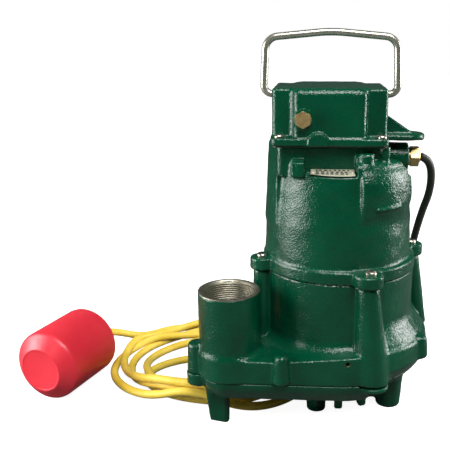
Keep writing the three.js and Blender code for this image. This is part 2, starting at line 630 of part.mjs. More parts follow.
const BLADE_PLACES = [[-6.4, 3], [6.4, 3], [0, -9]]; // line, neutral and ground, seen from the face
function bladeSlots(x0, x1, half) {
  return joined(...BLADE_PLACES.map(([y, z]) => (
    block(x0, x1, PLUG.y + y - half, PLUG.y + y + half, PLUG.z + z - 3.4, PLUG.z + z + 3.4))));
}

function piggybackBody() {
  const body = roundedBar(PLUG.x - 14, PLUG.x + 14, 17, 1, 34, PLUG.y);
  const neck = bar('y', 22, 8, [PLUG.x, PLUG.y - 26, PLUG.z]);
  const cordHole = bar('y', 20, SWITCH_CORD / 2 + GAP, [PLUG.x, PLUG.y - 34, PLUG.z], 12);
  return cut(body.add(neck), bladeSlots(PLUG.x + 1, PLUG.x + 20, 1.2), cordHole);
}

function powerPlugBody() {
  const body = roundedBar(PLUG.x + 14.4, PLUG.x + 40, 14.5, 3, 32, PLUG.y);
  const tail = bar('x', 26, 8, [PLUG.x + 52, PLUG.y, PLUG.z]);
  const cordHole = bar('x', 22, POWER_CORD / 2 + GAP, [PLUG.x + 60, PLUG.y, PLUG.z], 12);
  return cut(body.add(tail), cordHole, bladeSlots(PLUG.x + 14, PLUG.x + 22, 1.2));
}

function blade(index, face, side) {
  const [y, z] = BLADE_PLACES[index];
  const half = index === 2 ? 2.4 : 0.75;
  const reach = side < 0 ? 18 : 12;
  const x0 = side < 0 ? face - reach : face - reach + 7;
  const x1 = side < 0 ? face - GAP : face + 7;
  const tall = index === 2 ? 2.4 : 3.1;
  return block(x0, x1, PLUG.y + y - Math.min(half, 0.9), PLUG.y + y + Math.min(half, 0.9),
    PLUG.z + z - tall, PLUG.z + z + tall);
}

// ---------- cord routes ----------
const powerRoute = [
  [GLAND.bossEnd + 12.8, GLAND.y, GLAND.z], [85.5, 9.5, 258.5], [91, 14, 249.5], [93.8, 21, 235],
  [93.6, 30, 217], [90.5, 41, 198], [87.5, 53, 176], [85, 64, 152], [84, 74, 126], [84, 84, 98],
  [86, 94, 70], [89, 106, 42], [94, 120, 19], [98.5, 135, 7], [101, 148, 4.6], [101.8, 158, 4.4],
];
const powerEnd = [
  [101.8, 166, 4.4], [102.3, 182, 4.4], [102, 197, 4.6], [99.5, 210, 5.5], [94, 222, 8],
  [85.5, 232.5, 11.5], [75, 240, 15], [PLUG.x + 65.6, PLUG.y, PLUG.z],
];
const floatLead = [
  [-283.9, 41.6, 38], [-280.8, 50, 37.3], [-276.5, 60, 35], [-271, 71, 31], [-264.5, 82, 25.5],
  [-257.5, 92.5, 19], [-250, 103, 12.5], [-241.5, 114, 7.5], [-232, 125, 4.8], [-221, 135.5, 4.8],
];
const switchEnd = [
  [-150, 162.3, 4.8], [-134, 164, 4.8], [-117, 164.6, 4.8], [-100, 164.2, 4.8], [-83, 163.4, 4.8],
  [-67, 163.6, 4.8], [-52, 165.6, 5], [-38, 170.2, 6], [-26, 177, 8.5], [-15.5, 185.5, 12],
  [-7.6, 195.2, 15.8], [PLUG.x, 205.6, PLUG.z],
];

/** Round coil of cord. */
function coilRing({ x, y, inner, outer, height }, cordDiameter) {
  const soft = cordDiameter / 2;
  return turned([
    [inner, 0.4], [outer, 0.4], [outer, height - soft], [outer - soft, height], [inner + soft, height],
    [inner, height - soft],
  ], 32, { x, y });
}

/** Loose oval coil, with its open middle nearer one end. */
function looseCoil({ x, y, outer, holeX, hole, height }, cordDiameter) {
  const soft = cordDiameter / 2;
  return cut(
    joined(
      ellipticPost(0.4, height - soft, { x, y }, outer),
      ellipticPost(height - soft - 0.01, height, { x, y }, outer, outer.map((r) => r - soft)),
    ),
    ellipticPost(0, height + 1, { x: holeX, y }, hole),
  );
}

function floatClearance() {
  return alongFloat(post(-1, FLOAT.length + 2, FLOAT.radius + 0.6, { sides: 28 }));
}

// ---------- the scene graph ----------
const looks = {
  enamel: { color: 0x0d4a34, roughness: 0.35, metalness: 0.1 },
  steel: { color: 0xb9bbb4, roughness: 0.3, metalness: 1 },
  brass: { color: 0xb98f45, roughness: 0.35, metalness: 1 },
  rubber: { color: 0x22241f, roughness: 0.6, metalness: 0 },
  yellow: { color: 0xf2cf4a, roughness: 0.5, metalness: 0 },
  red: { color: 0xe0323c, roughness: 0.35, metalness: 0 },
  copper: { color: 0xb06a3a, roughness: 0.45, metalness: 1 },
  lamination: { color: 0x80827f, roughness: 0.5, metalness: 1 },
  black: { color: 0x1a1a1a, roughness: 0.5, metalness: 0 },
  iron: { color: 0x6a6c6a, roughness: 0.5, metalness: 1 },
};
const group = new THREE.Group();
const cordNames = new Set();

function place(name, look, shape, onCord = false) {
  const geometry = shape.isBufferGeometry ? shape : geometryOf(shape);
  const mesh = new THREE.Mesh(geometry, new THREE.MeshStandardMaterial(looks[look]));
  mesh.name = name;
  if (onCord) cordNames.add(name);
  group.add(mesh);
}

place('pump_body', 'enamel', pumpBody());
place('base_plate', 'enamel', basePlate());
place('motor_housing', 'enamel', motorHousing());
place('cap_cover', 'enamel', capCover());
place('cap_gasket', 'rubber', capGasket());
place('housing_o_ring', 'rubber', ring(70.4, 73.2, BODY_TOP - 2.8, BODY_TOP - 0.2, 32));
place('bail_handle', 'steel', tube(handlePath(), HANDLE.wire, 8, 50));
place('oil_plug', 'brass', joined(
  hexagon('y', 13.7, 6, [-37, CAP.front - 3.6, 303.7]), bar('y', 10, 4.2, [-37, CAP.front + 3.6, 303.7], 16),
));
place('cord_gland_nut', 'brass', cut(
  joined(
    hexagon('x', 19, GLAND.nutLength - 2, [GLAND.bossEnd + GAP + 5.2, GLAND.y, GLAND.z]),
    bar('x', 1.6, 8.6, [GLAND.bossEnd + GAP + 0.8, GLAND.y, GLAND.z], 24),
  ),
  bar('x', 30, 6, [GLAND.bossEnd + 5, GLAND.y, GLAND.z], 20),
));
place('cord_strain_relief', 'rubber', cut(
  bar('x', 24, 5.7, [GLAND.bossEnd, GLAND.y, GLAND.z], 20),
  bar('x', 40, POWER_CORD / 2 + GAP, [GLAND.bossEnd + 5, GLAND.y, GLAND.z], 16),
), true);

lugCentres.forEach(([x, y], i) => {
  place(`housing_screw_${i + 1}`, 'steel', panScrew(x, y, FLANGE_TOP + GAP, 2.9, 80));
});
CAP_SCREWS.forEach(([x, y], i) => {
  const screw = panScrew(x, y, CAP_FLANGE_TOP + GAP, 2.4, CAP_FLANGE_TOP - NECK_TOP - 0.5);
  place(`cap_screw_${i + 1}`, 'steel', screw);
});
baseScrews.forEach(({ x, y, top, low = EAR_BOTTOM }, i) => {
  const seat = low - GAP;
  const screw = turned([
    [0, seat - 3.5], [4.2, seat - 3.5], [5.4, seat - 2], [5.4, seat], [2.6, seat], [2.6, top - 2],
    [0, top - 2],
  ], 10, { x, y });
  place(`base_screw_${i + 1}`, 'steel', screw);
});

place('nameplate', 'steel', block(-30, 11.5, -68.2, -49, PLATE_SHELF + GAP, PLATE_SHELF + GAP + 0.9)
  .intersect(post(PLATE_SHELF, PLATE_SHELF + 3, BARREL.high - 1, { x: BARREL.x, sides: 96 })));

place('stator_core', 'lamination', statorCore());
place('stator_winding_top', 'copper', winding(STACK.top + GAP, 232));
place('stator_winding_bottom', 'copper', winding(156, STACK.bottom - GAP));
place('rotor_core', 'lamination', ring(SHAFT_RADIUS + GAP, STACK.rotor, STACK.bottom, STACK.top, 28));
place('motor_shaft', 'steel', turned([
  [0, 58], [6, 58], [SHAFT_RADIUS, 60], [SHAFT_RADIUS, 244], [6, 245], [0, 245],
], 20));
place('upper_bearing', 'steel', ring(SHAFT_RADIUS + GAP, 18, 234, 243, 20));
place('lower_bearing', 'steel', ring(SHAFT_RADIUS + GAP, 20, 122.4, 133, 20));
place('seal_seat', 'lamination', ring(SHAFT_RADIUS + 1.2, 16, 98, 107, 20));
place('seal_face', 'iron', ring(SHAFT_RADIUS + GAP, 13, 93.4, 97.6, 20));
place('seal_bellows', 'rubber', ring(SHAFT_RADIUS + GAP, 12, 88.4, 93.1, 20));
place('impeller', 'iron', impeller());
place('run_capacitor', 'steel', bar('x', 62, 15, [CAP.x + 2, 20, 300.5], 20));
place('thermal_overload', 'black', block(-40, -14, -28, -8, PLATE_SHELF + 1.4, PLATE_SHELF + 15));
place('terminal_block', 'black', block(-8, 22, -32, -14, PLATE_SHELF + 1.4, PLATE_SHELF + 16));

place('float_shell', 'red', alongFloat(floatShell()), true);
place('float_grommet', 'red', alongFloat(floatGrommet()), true);
place('float_switch_capsule', 'black', alongFloat(switchCapsule()), true);
place('float_switch_ball', 'steel', alongFloat(switchBall()), true);

place('power_cord', 'rubber', cordTube(powerRoute, POWER_CORD), true);
place('power_cord_coil', 'rubber', coilRing(POWER_COIL, POWER_CORD), true);
place('power_cord_end', 'rubber', cordTube(powerEnd, POWER_CORD), true);
place('power_plug', 'black', powerPlugBody(), true);
place('switch_cord_lead', 'yellow', cordTube(floatLead, SWITCH_CORD), true);
place('switch_cord_coil', 'yellow', cut(
  looseCoil(SWITCH_COIL, SWITCH_CORD), floatClearance(),
  solid(cordTube([...floatLead, [-210, 145, 4.8]], SWITCH_CORD + 2.6)), // room for the lead where it joins
), true);
place('switch_cord_end', 'yellow', cordTube(switchEnd, SWITCH_CORD), true);
place('piggyback_plug', 'yellow', piggybackBody(), true);
BLADE_PLACES.forEach((_, i) => {
  place(`power_plug_blade_${i + 1}`, 'brass', blade(i, PLUG.x + 14.4, 1), true);
  place(`piggyback_blade_${i + 1}`, 'brass', blade(i, PLUG.x - 14, -1), true);
});

// origin: bottom middle of the box of everything that isn't on a cord
const rigid = new THREE.Box3();
for (const mesh of group.children) {
  if (!cordNames.has(mesh.name)) rigid.expandByObject(mesh);
}
const middle = rigid.getCenter(new THREE.Vector3());
group.position.set(-middle.x, -middle.y, -rigid.min.z);
group.updateMatrixWorld(true);

export default group;
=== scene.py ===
"""Submersible sump pump: enamelled cast-iron body, wire bail handle, tethered float switch and two cords."""
import math

import bmesh
import bpy
import numpy as np
from mathutils import Matrix, Vector


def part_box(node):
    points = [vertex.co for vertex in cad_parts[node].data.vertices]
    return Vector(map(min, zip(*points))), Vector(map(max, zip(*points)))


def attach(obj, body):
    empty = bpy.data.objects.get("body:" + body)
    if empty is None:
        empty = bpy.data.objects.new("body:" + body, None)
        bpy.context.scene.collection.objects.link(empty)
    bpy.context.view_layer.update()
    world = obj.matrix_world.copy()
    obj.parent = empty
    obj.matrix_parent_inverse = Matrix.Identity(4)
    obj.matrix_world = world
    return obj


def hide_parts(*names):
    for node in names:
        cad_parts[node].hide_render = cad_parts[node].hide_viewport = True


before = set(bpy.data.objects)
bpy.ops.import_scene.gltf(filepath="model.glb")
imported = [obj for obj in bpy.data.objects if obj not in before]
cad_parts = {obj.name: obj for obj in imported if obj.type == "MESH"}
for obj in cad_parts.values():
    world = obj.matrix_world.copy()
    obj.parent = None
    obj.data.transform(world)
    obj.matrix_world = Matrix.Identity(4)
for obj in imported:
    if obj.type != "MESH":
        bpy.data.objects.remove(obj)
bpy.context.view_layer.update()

MM = 0.001
SHAFT_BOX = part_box("motor_shaft")
AXIS = np.array([(SHAFT_BOX[0][0] + SHAFT_BOX[1][0]) / 2, (SHAFT_BOX[0][1] + SHAFT_BOX[1][1]) / 2, 0.0])


def at(x, y, z):
    """A point given in millimetres from the pump axis and the floor, in the frame's metres."""
    return Vector((AXIS[0] + x * MM, AXIS[1] + y * MM, z * MM))


def linear(red, green, blue):
    """Scene-linear colour from 0-255 values."""
    def channel(value):
        value /= 255
        return value / 12.92 if value <= 0.04045 else ((value + 0.055) / 1.055) ** 2.4
    return (channel(red), channel(green), channel(blue), 1.0)


def placed(name, data):
    """A new object, linked to the scene."""
    piece = bpy.data.objects.new(name, data)
    bpy.context.scene.collection.objects.link(piece)
    return piece


# ---------------------------------------------------------------- camera
CAMERA_PLACE = (-22.3, -671.8, 376.0)
CAMERA_YAW = math.radians(3.39)
CAMERA_PITCH = math.radians(15.55)
CAMERA_LENS, CAMERA_SENSOR, CAMERA_SHIFT = 54.08, 36.0, -0.12


def make_camera():
    data = bpy.data.cameras.new("camera")
    data.lens = CAMERA_LENS
    data.sensor_width = CAMERA_SENSOR
    data.shift_x = CAMERA_SHIFT
    camera = placed("camera", data)
    camera.location = at(*CAMERA_PLACE)
    camera.rotation_euler = (math.pi / 2 - CAMERA_PITCH, 0.0, CAMERA_YAW)
    bpy.context.scene.camera = camera


make_camera()


# ---------------------------------------------------------------- materials
class Nodes:
    """The node tree of a material or a world, with short calls to add and link nodes."""

    def __init__(self, owner):
        owner.use_nodes = True
        self.nodes = owner.node_tree.nodes
        self.links = owner.node_tree.links

    def feed(self, socket, value):
        """Links an output to a socket, or sets the socket to a plain value."""
        if isinstance(value, bpy.types.NodeSocket):
            self.links.new(value, socket)
        else:
            socket.default_value = value

    def node(self, kind, **sockets):
        node = self.nodes.new(kind)
        for key, value in sockets.items():
            self.feed(node.inputs[key.replace("_", " ")], value)
        return node


class Shader(Nodes):
    """A Principled material whose nodes are worked out in the place of each point."""

    def __init__(self, name, **values):
        self.material = bpy.data.materials.new(name)
        super().__init__(self.material)
        self.principled = self.nodes["Principled BSDF"]
        for key, value in values.items():
            self.set(key.replace("_", " "), value)
        self.place = self.node("ShaderNodeTexCoord").outputs["Object"]

    def set(self, name, value):
        """Feeds one of the Principled sockets."""
        self.feed(self.principled.inputs[name], value)

    def noise(self, scale, detail=2.0, roughness=0.5, stretch=None):
        place = self.place
        if stretch is not None:
            mapping = self.node("ShaderNodeMapping", Vector=place, Scale=stretch)
            place = mapping.outputs["Vector"]
        node = self.node("ShaderNodeTexNoise", Vector=place, Scale=scale, Detail=detail, Roughness=roughness)
        return node.outputs["Fac"]

    def ramp(self, factor, low, high, start=0.3, end=0.7):
        """From one colour (0-255) or level (0-1) to another, between two values of the factor."""
        node = self.node("ShaderNodeValToRGB", Fac=factor)
        for element, place, tone in zip(node.color_ramp.elements, (start, end), (low, high)):
            element.position = place
            element.color = linear(*tone) if isinstance(tone, tuple) else (tone, tone, tone, 1.0)
        return node.outputs["Color"]

    def mix(self, factor, first, second):
        """Mixes two colours, each an output or a 0-255 colour."""
        node = self.node("ShaderNodeMix")
        node.data_type = "RGBA"
        self.feed(node.inputs[0], factor)
        for socket, value in zip(node.inputs[6:8], (first, second)):
            self.feed(socket, linear(*value) if isinstance(value, tuple) else value)
        return node.outputs[2]

    def math(self, operation, first, second=0.5):
        node = self.node("ShaderNodeMath")
        node.operation = operation
        for socket, value in zip(node.inputs, (first, second)):
            self.feed(socket, value)
        return node.outputs[0]

    def edges(self, low, high):
        """White on convex edges, black elsewhere: the mask for edge wear and for painted edge highlights."""
        geometry = self.node("ShaderNodeNewGeometry")
        return self.ramp(geometry.outputs["Pointiness"], 0.0, 1.0, low, high)

    def near(self, point, radius):
        """White at a point, fading to black at a radius."""
        node = self.node("ShaderNodeVectorMath")
        node.operation = "DISTANCE"
        self.feed(node.inputs[0], self.place)
        self.feed(node.inputs[1], point)
        return self.ramp(self.math("DIVIDE", node.outputs["Value"], radius), 1.0, 0.0, 0.45, 1.0)

    def bump(self, height, distance, strength):
        node = self.node("ShaderNodeBump", Height=height, Distance=distance * MM, Strength=strength)
        self.set("Normal", node.outputs["Normal"])


def two_tone(name, tones, gloss=None, bump=None, **values):
    """A material of two mottled tones, with an uneven gloss and a fine bump where they are given.

    Each of the three starts with its noise: scale, detail and, if need be, roughness and stretch.
    """
    skin = Shader(name, **values)
    noise, low, high = tones
    skin.set("Base Color", skin.ramp(skin.noise(*noise), low, high))
    if gloss:
        noise, low, high = gloss
        skin.set("Roughness", skin.ramp(skin.noise(*noise), low, high))
    if bump:
        noise, distance, strength = bump
        skin.bump(skin.noise(*noise), distance, strength)
    return skin.material


CHIPPED_AND_GLINT_PLACES = (  # where the edges have chips and painted glints, and how far around each place
    ((-78, -82, 80), 25), ((-45, -90, 81), 25), ((-12, -90, 84), 25), ((-4, -77, 158), 30),
    ((1, -78, 94), 22), ((-55, -45, 254), 22), ((30, -50, 272), 24),
)
WEEP_X, WEEP_Z = 8, 78.5


def enamel():
    """Dark green enamel over a sand casting: pebbled, glossy, thinned and with chips on the edges, and
    lightened there by painted highlights.
    """
    skin = Shader("green enamel", Roughness=0.26, IOR=1.5, Specular_IOR_Level=0.5)
    tone = skin.ramp(skin.noise(24, 4), (0, 60, 39), (0, 74, 48))
    fleck = skin.ramp(skin.noise(700, 3, 0.65), 0.0, 1.0, 0.45, 0.75)
    tone = skin.mix(skin.math("MULTIPLY", fleck, 0.25), tone, (12, 92, 64))
    mottle = skin.ramp(skin.noise(300, 4, 0.7), 0.0, 1.0, 0.5, 0.7)
    # Painted highlight: convex edges are lightened towards a pale green, partly thinned enamel and partly a
    # painted sheen where light would catch them.
    thin_enamel_and_edge_sheen = skin.math("MULTIPLY", skin.edges(0.55, 0.63), mottle)
    tone = skin.mix(skin.math("MULTIPLY", thin_enamel_and_edge_sheen, 0.2), tone, (60, 116, 90))
    # Painted highlight: near-white specks on the edges at these places, partly chips in the enamel and partly
    # painted glints of light on the edge.
    chipped_and_glint_zone = 0.0
    for place, radius in CHIPPED_AND_GLINT_PLACES:
        chipped_and_glint_zone = skin.math("MAXIMUM", chipped_and_glint_zone, skin.near(at(*place), radius * MM))
    flakes_and_glints = skin.ramp(skin.noise(480, 4, 0.75), 0.0, 1.0, 0.53, 0.56)
    chips_and_painted_glints = skin.math("MULTIPLY", skin.math("MULTIPLY", skin.edges(0.53, 0.56), flakes_and_glints), chipped_and_glint_zone)
    tone = skin.mix(chips_and_painted_glints, tone, (214, 224, 212))
    rust = skin.near(at(WEEP_X, -92.3, WEEP_Z), 3.4 * MM)
    skin.set("Base Color", skin.mix(rust, tone, (70, 40, 22)))
    skin.set("Roughness", skin.ramp(skin.noise(160, 4, 0.6), 0.12, 0.21, 0.25, 0.75))
    skin.bump(skin.noise(680, 1, 0.5), 0.9, 0.55)
    return skin.material


def machined_iron():
    """Bare turned cast iron with a trace of rust in the thread."""
    skin = Shader("machined iron", Metallic=1.0, Roughness=0.35)
    tone = skin.ramp(skin.noise(70, 4, 0.5), (140, 136, 118), (186, 182, 164))
    rust = skin.ramp(skin.noise(45, 5, 0.7), 0.0, 0.55, 0.55, 0.75)
    skin.set("Base Color", skin.mix(rust, tone, (104, 74, 48)))
    skin.set("Roughness", skin.ramp(skin.noise(300, 3), 0.38, 0.5))
    return skin.material


def plated_screw():
    """Plated screw with enamel left on it."""
    skin = Shader("screw steel", Metallic=1.0, Roughness=0.32)
    paint = skin.ramp(skin.noise(260, 4, 0.7), 0.0, 1.0, 0.52, 0.58)
    bare = skin.ramp(skin.noise(150, 3), (150, 140, 120), (214, 210, 198), 0.35, 0.7)
    skin.set("Base Color", skin.mix(paint, bare, (14, 66, 46)))
    skin.set("Metallic", skin.math("SUBTRACT", 1.0, paint))
    skin.bump(skin.noise(900, 3), 0.15, 0.4)
    return skin.material


def jacket(name, low, high):
    """Extruded cord jacket with faint scuffs."""
    return two_tone(name, ((38, 4, 0.6), low, high), ((300, 3), 0.34, 0.54), ((700, 3), 0.25, 0.3),
                    Roughness=0.42, IOR=1.48, Sheen_Weight=0.1)


LOOKS = {  # each look's material and the slot it fills
    "enamel": (enamel(), "enamel"),
    "machined": (machined_iron(), "cast_iron"),
    "screw": (plated_screw(), "steel"),
    "rubber": (jacket("black rubber", (30, 31, 22), (46, 47, 36)), "black_rubber"),
    "yellow": (jacket("yellow jacket", (232, 196, 52), (248, 220, 92)), "yellow_jacket"),
    "iron": (two_tone(
        "grey iron casting", ((120, 4), (78, 78, 76), (124, 124, 120)), None, ((500, 3), 0.4, 0.5),
        Metallic=0.85, Roughness=0.55), "cast_iron"),
    "stainless": (two_tone(
        "stainless steel", ((60, 4), (178, 178, 162), (204, 203, 188)), ((300, 3, 0.6), 0.2, 0.32),
        Metallic=0.8, Roughness=0.34), "steel"),
    "plate": (two_tone(
        "plate metal", ((240, 3, 0.5, (0.1, 1, 1)), (168, 166, 140), (222, 220, 196)), None,
        ((900, 2, 0.5, (0.05, 1, 1)), 0.05, 0.3), Metallic=0.35, Roughness=0.4), "steel"),
    "brass": (two_tone(
        "brass", ((110, 4, 0.6), (196, 164, 104), (226, 200, 142)), ((420, 3), 0.22, 0.42),
        ((1200, 2, 0.5, (1, 1, 4)), 0.1, 0.4), Metallic=0.75, Roughness=0.3), "brass"),
    "red": (two_tone(
        "red plastic", ((18, 3), (226, 44, 62), (240, 58, 72)), ((180, 3), 0.28, 0.44),
        ((800, 2), 0.12, 0.25), Roughness=0.34, IOR=1.49, Subsurface_Weight=0.25,
        Subsurface_Scale=0.004, Subsurface_Radius=(1.0, 0.22, 0.16)), "red_plastic"),
    "black": (two_tone(
        "black plastic", ((60, 3), (24, 24, 24), (40, 40, 38)), None, ((1200, 3), 0.15, 0.4),
        Roughness=0.45), "black_plastic"),
    "lamination": (two_tone(
        "lamination steel", ((80, 3, 0.5, (1, 1, 30)), (96, 98, 100), (150, 150, 148)), None,
        ((60, 1, 0.5, (0.2, 0.2, 30)), 0.2, 0.5), Metallic=1.0, Roughness=0.45), "steel"),
    "copper": (two_tone(
        "winding copper", ((70, 3), (140, 74, 34), (190, 112, 62)), None,
        ((220, 2, 0.5, (1, 1, 4)), 0.6, 0.6), Metallic=0.9, Roughness=0.35), "copper"),
}


def add(name, data, look, body="pump", replaces=()):
    """Places a finished mesh or curve, gives it its material, and lets it ride on a body."""
    piece = placed(name, data)
    material, slot = LOOKS[look]
    data.materials.append(material)
    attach(piece, body)
    if replaces:
        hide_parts(*replaces)
    return piece


# ---------------------------------------------------------------- castings as distance fields
class Grid:
    """A box of sample points, in millimetres, on which distance fields are worked out."""

    def __init__(self, low, high, step):
        self.low = np.array(low, float)
        self.step = step
        counts = [int(math.ceil((h - l) / step)) + 1 for l, h in zip(low, high)]
        axes = [l + step * np.arange(n) for l, n in zip(low, counts)]
        self.heights = axes[2]
        self.x = axes[0][:, None, None].astype(np.float32)
        self.y = axes[1][None, :, None].astype(np.float32)
        self.z = axes[2][None, None, :].astype(np.float32)
        self.shape = tuple(counts)

    def circle(self, x, y, radius):
        return np.hypot(self.x - x, self.y - y) - radius

    def rectangle(self, x0, x1, y0, y1, corner=0.0):
        x, y = self.x - (x0 + x1) / 2, self.y - (y0 + y1) / 2
        return square_outline(x, y, (x1 - x0) / 2, (y1 - y0) / 2, corner)

    def band(self, low, high):
        return np.abs(self.z - (low + high) / 2) - (high - low) / 2

    def block(self, x0, x1, y0, y1, z0, z1, edge=0.0, corner=None):
        plan = self.rectangle(x0, x1, y0, y1, edge if corner is None else corner)
        return rounded_and(plan, self.band(z0, z1), edge)

    def post(self, x, y, radius, z0, z1, edge=0.0):
        return rounded_and(self.circle(x, y, radius), self.band(z0, z1), edge)

    def leaning(self, foot, head, z0, z1, edge=0.0):
        """Column between two circles (x, y, radius), one at the bottom and one at the top."""
        t = np.clip((self.z - z0) / (z1 - z0), 0, 1)
        x, y, radius = (a + (b - a) * t for a, b in zip(foot, head))
        return rounded_and(np.hypot(self.x - x, self.y - y) - radius, self.band(z0, z1), edge)

    def bar(self, axis, point, radius, length, edge=0.0):
        """Round bar along X or Y, centred on a point."""
        x, y, z = point
        across = self.y - y if axis == "x" else self.x - x
        along = self.x - x if axis == "x" else self.y - y
        return rounded_and(np.hypot(across, self.z - z) - radius, np.abs(along) - length / 2, edge)

    def turned(self, points):
        """Solid of revolution about the pump axis; points are (radius, height)."""
        radius = np.hypot(self.x, self.y)[:, :, 0]
        table_radius = np.arange(0, radius.max() + 1, 0.4)
        table = polygon(table_radius[:, None], self.heights[None, :], points)
        whole = np.empty(self.shape, np.float32)
        for k in range(self.shape[2]):
            whole[:, :, k] = np.interp(radius, table_radius, table[:, k])
        return whole

    def rod(self, start, end, radius):
        """Round-ended rod between two points."""
        along = np.subtract(end, start).astype(float)
        px, py, pz = self.x - start[0], self.y - start[1], self.z - start[2]
        share = np.clip((px * along[0] + py * along[1] + pz * along[2]) / float(along @ along), 0, 1)
        return np.sqrt((px - share * along[0]) ** 2 + (py - share * along[1]) ** 2
                       + (pz - share * along[2]) ** 2) - radius

    def sector(self, start, end):
        """Negative between two clockwise angles from the front; not a true distance far away."""
        middle = math.radians((start + end) / 2)
        half = math.radians((end - start) / 2)
        along = self.x * math.sin(middle) - self.y * math.cos(middle)
        across = self.x * math.cos(middle) + self.y * math.sin(middle)
        return np.abs(across) * math.cos(half) - along * math.sin(half)


def polygon(px, py, points):
    """Signed distance to a closed polygon, negative inside."""
    best = np.full(np.broadcast(px, py).shape, np.inf)
    sign = np.ones_like(best)
    for (ax, ay), (bx, by) in zip(points, points[1:] + points[:1]):
        ex, ey = bx - ax, by - ay
        wx, wy = px - ax, py - ay
        t = np.clip((wx * ex + wy * ey) / (ex * ex + ey * ey), 0, 1)
        best = np.minimum(best, (wx - ex * t) ** 2 + (wy - ey * t) ** 2)
        above, below, left = py >= ay, py < by, ex * wy > ey * wx
        sign = np.where((above & below & left) | (~above & ~below & ~left), -sign, sign)
    return sign * np.sqrt(best)


def rounded_and(first, second, radius):
    a, b = first + radius, second + radius
    return np.minimum(np.maximum(a, b), 0) + np.hypot(np.maximum(a, 0), np.maximum(b, 0)) - radius


def square_outline(across, upright, half_across, half_upright, corner):
    """Distance to a rounded rectangle, from the distances to its two middle lines."""
    across = np.abs(across) - half_across + corner
    return rounded_and(across, np.abs(upright) - half_upright + corner, 0) - corner


def join(*fields, fillet=0.0):
    """Union, with a cast fillet where the solids meet."""
    whole = fields[0]
    for field in fields[1:]:
        if fillet:
            h = np.clip(0.5 + 0.5 * (field - whole) / fillet, 0, 1)
            whole = field * (1 - h) + whole * h - fillet * h * (1 - h)
        else:
            whole = np.minimum(whole, field)
    return whole


def coved(first, second, radius):
    """Union with a round cove of a given radius in the corner."""
    rest = np.hypot(np.maximum(radius - first, 0), np.maximum(radius - second, 0))
    return np.maximum(radius, np.minimum(first, second)) - rest


def cut(whole, *tools, fillet=0.0):
    for tool in tools:
        whole = -join(-whole, tool, fillet=fillet) if fillet else np.maximum(whole, -tool)
    return whole


def waviness(grid, seed, size=0.16, waves=14):
    """The slight unevenness of a casting's skin."""
    random = np.random.default_rng(seed)
    total = 0.0
    for _ in range(waves):
        direction = random.normal(size=3)
        direction *= 2 * math.pi / (random.uniform(9, 34) * np.linalg.norm(direction))
        phase = random.uniform(0, 2 * math.pi)
        total = total + np.sin(direction[0] * grid.x + direction[1] * grid.y + direction[2] * grid.z + phase)
    return total * (size / math.sqrt(waves))


def surface(name, grid, field):
    """Mesh of the field's zero level by naive surface nets, in the frame's metres."""
    field = np.broadcast_to(field, grid.shape).astype(np.float32)
    inside = field < 0
    cells = np.array(grid.shape) - 1
    total = np.zeros((cells.prod(), 3))
    count = np.zeros(cells.prod())
    quads = []
    for axis in range(3):
        side_a, side_b = (axis + 1) % 3, (axis + 2) % 3
        crossing = np.argwhere(np.diff(inside, axis=axis))
        ends = crossing + (np.arange(3) == axis)
        v0, v1 = field[tuple(crossing.T)], field[tuple(ends.T)]
        points = crossing.astype(float)
        points[:, axis] += v0 / (v0 - v1)
        around = []
        for da, db in ((0, 0), (-1, 0), (-1, -1), (0, -1)):
            cell = crossing.copy()
            cell[:, side_a] += da
            cell[:, side_b] += db
            index = (cell[:, 0] * cells[1] + cell[:, 1]) * cells[2] + cell[:, 2]
            around.append(index)
            np.add.at(total, index, points)
            np.add.at(count, index, 1)
        around = np.stack(around, 1)
        quads.append(np.where((v0 < 0)[:, None], around, around[:, ::-1]))
    quads = np.concatenate(quads)
    used, faces = np.unique(quads, return_inverse=True)
    corners = (grid.low + grid.step * total[used] / count[used][:, None]) * MM + AXIS
    mesh = bpy.data.meshes.new(name)
    mesh.from_pydata(corners.tolist(), [], faces.reshape(-1, 4).tolist())
    mesh.shade_smooth()
    return mesh


# the pump's main heights, places and radii, in millimetres from the floor and the axis
BASE_BOTTOM, BASE_JOINT = 34, 55
BODY_BOTTOM, BODY_TOP = 55.04, 151.4
HOUSING_BOTTOM, FLANGE_TOP, NECK_TOP = 152, 164, 277.6
CAP_BOTTOM, CAP_TOP = 279, 331.5
CAP_X, CAP_FRONT, CAP_BACK = -12.7, -54.0, 54.7
CAP_HALF, CAP_PANEL = 53.9, 33.6  # half the width of the cap's box and of its raised middle
HANDLE_Y, HANDLE_Z = 10.0, 321.6
FILLER_X, FILLER_Z = -37, 303.7
GLAND = (8, 260.5)  # the power cord's way in: y, z
DISCHARGE = (-107.0, -62.0)
DISCHARGE_RADIUS = 30.2
VOLUTE_RADIUS, WALL_RADIUS, FLANGE_RADIUS = 92.0, 76.3, 77.3
LUG_CIRCLE, LUG_RADIUS = 82.2, 12.3
LUG_ANGLES = (-70.3, 19.7, 109.7, 199.7)
FRONT_LUG, FRONT_LUG_SHIFT = LUG_ANGLES[1], 3.5  # the front lug is an oval of two circles


def on_circle(radius, degrees):
    angle = math.radians(degrees)
    return radius * math.sin(angle), -radius * math.cos(angle)


def snail(grid):
    """Plan distance to the hull of the volute circle and the discharge circle."""
    dx, dy = DISCHARGE
    length = math.hypot(dx, dy)
    along = (grid.x * dx + grid.y * dy) / length
    across = np.abs(grid.x * dy - grid.y * dx) / length
    slope = (VOLUTE_RADIUS - DISCHARGE_RADIUS) / length
    level = math.sqrt(1 - slope * slope)
    k = level * along - slope * across
    near_volute = np.hypot(across, along) - VOLUTE_RADIUS
    near_discharge = np.hypot(across, along - length) - DISCHARGE_RADIUS
    tangent = level * across + slope * along - VOLUTE_RADIUS
    return np.where(k < 0, near_volute, np.where(k > level * length, near_discharge, tangent))


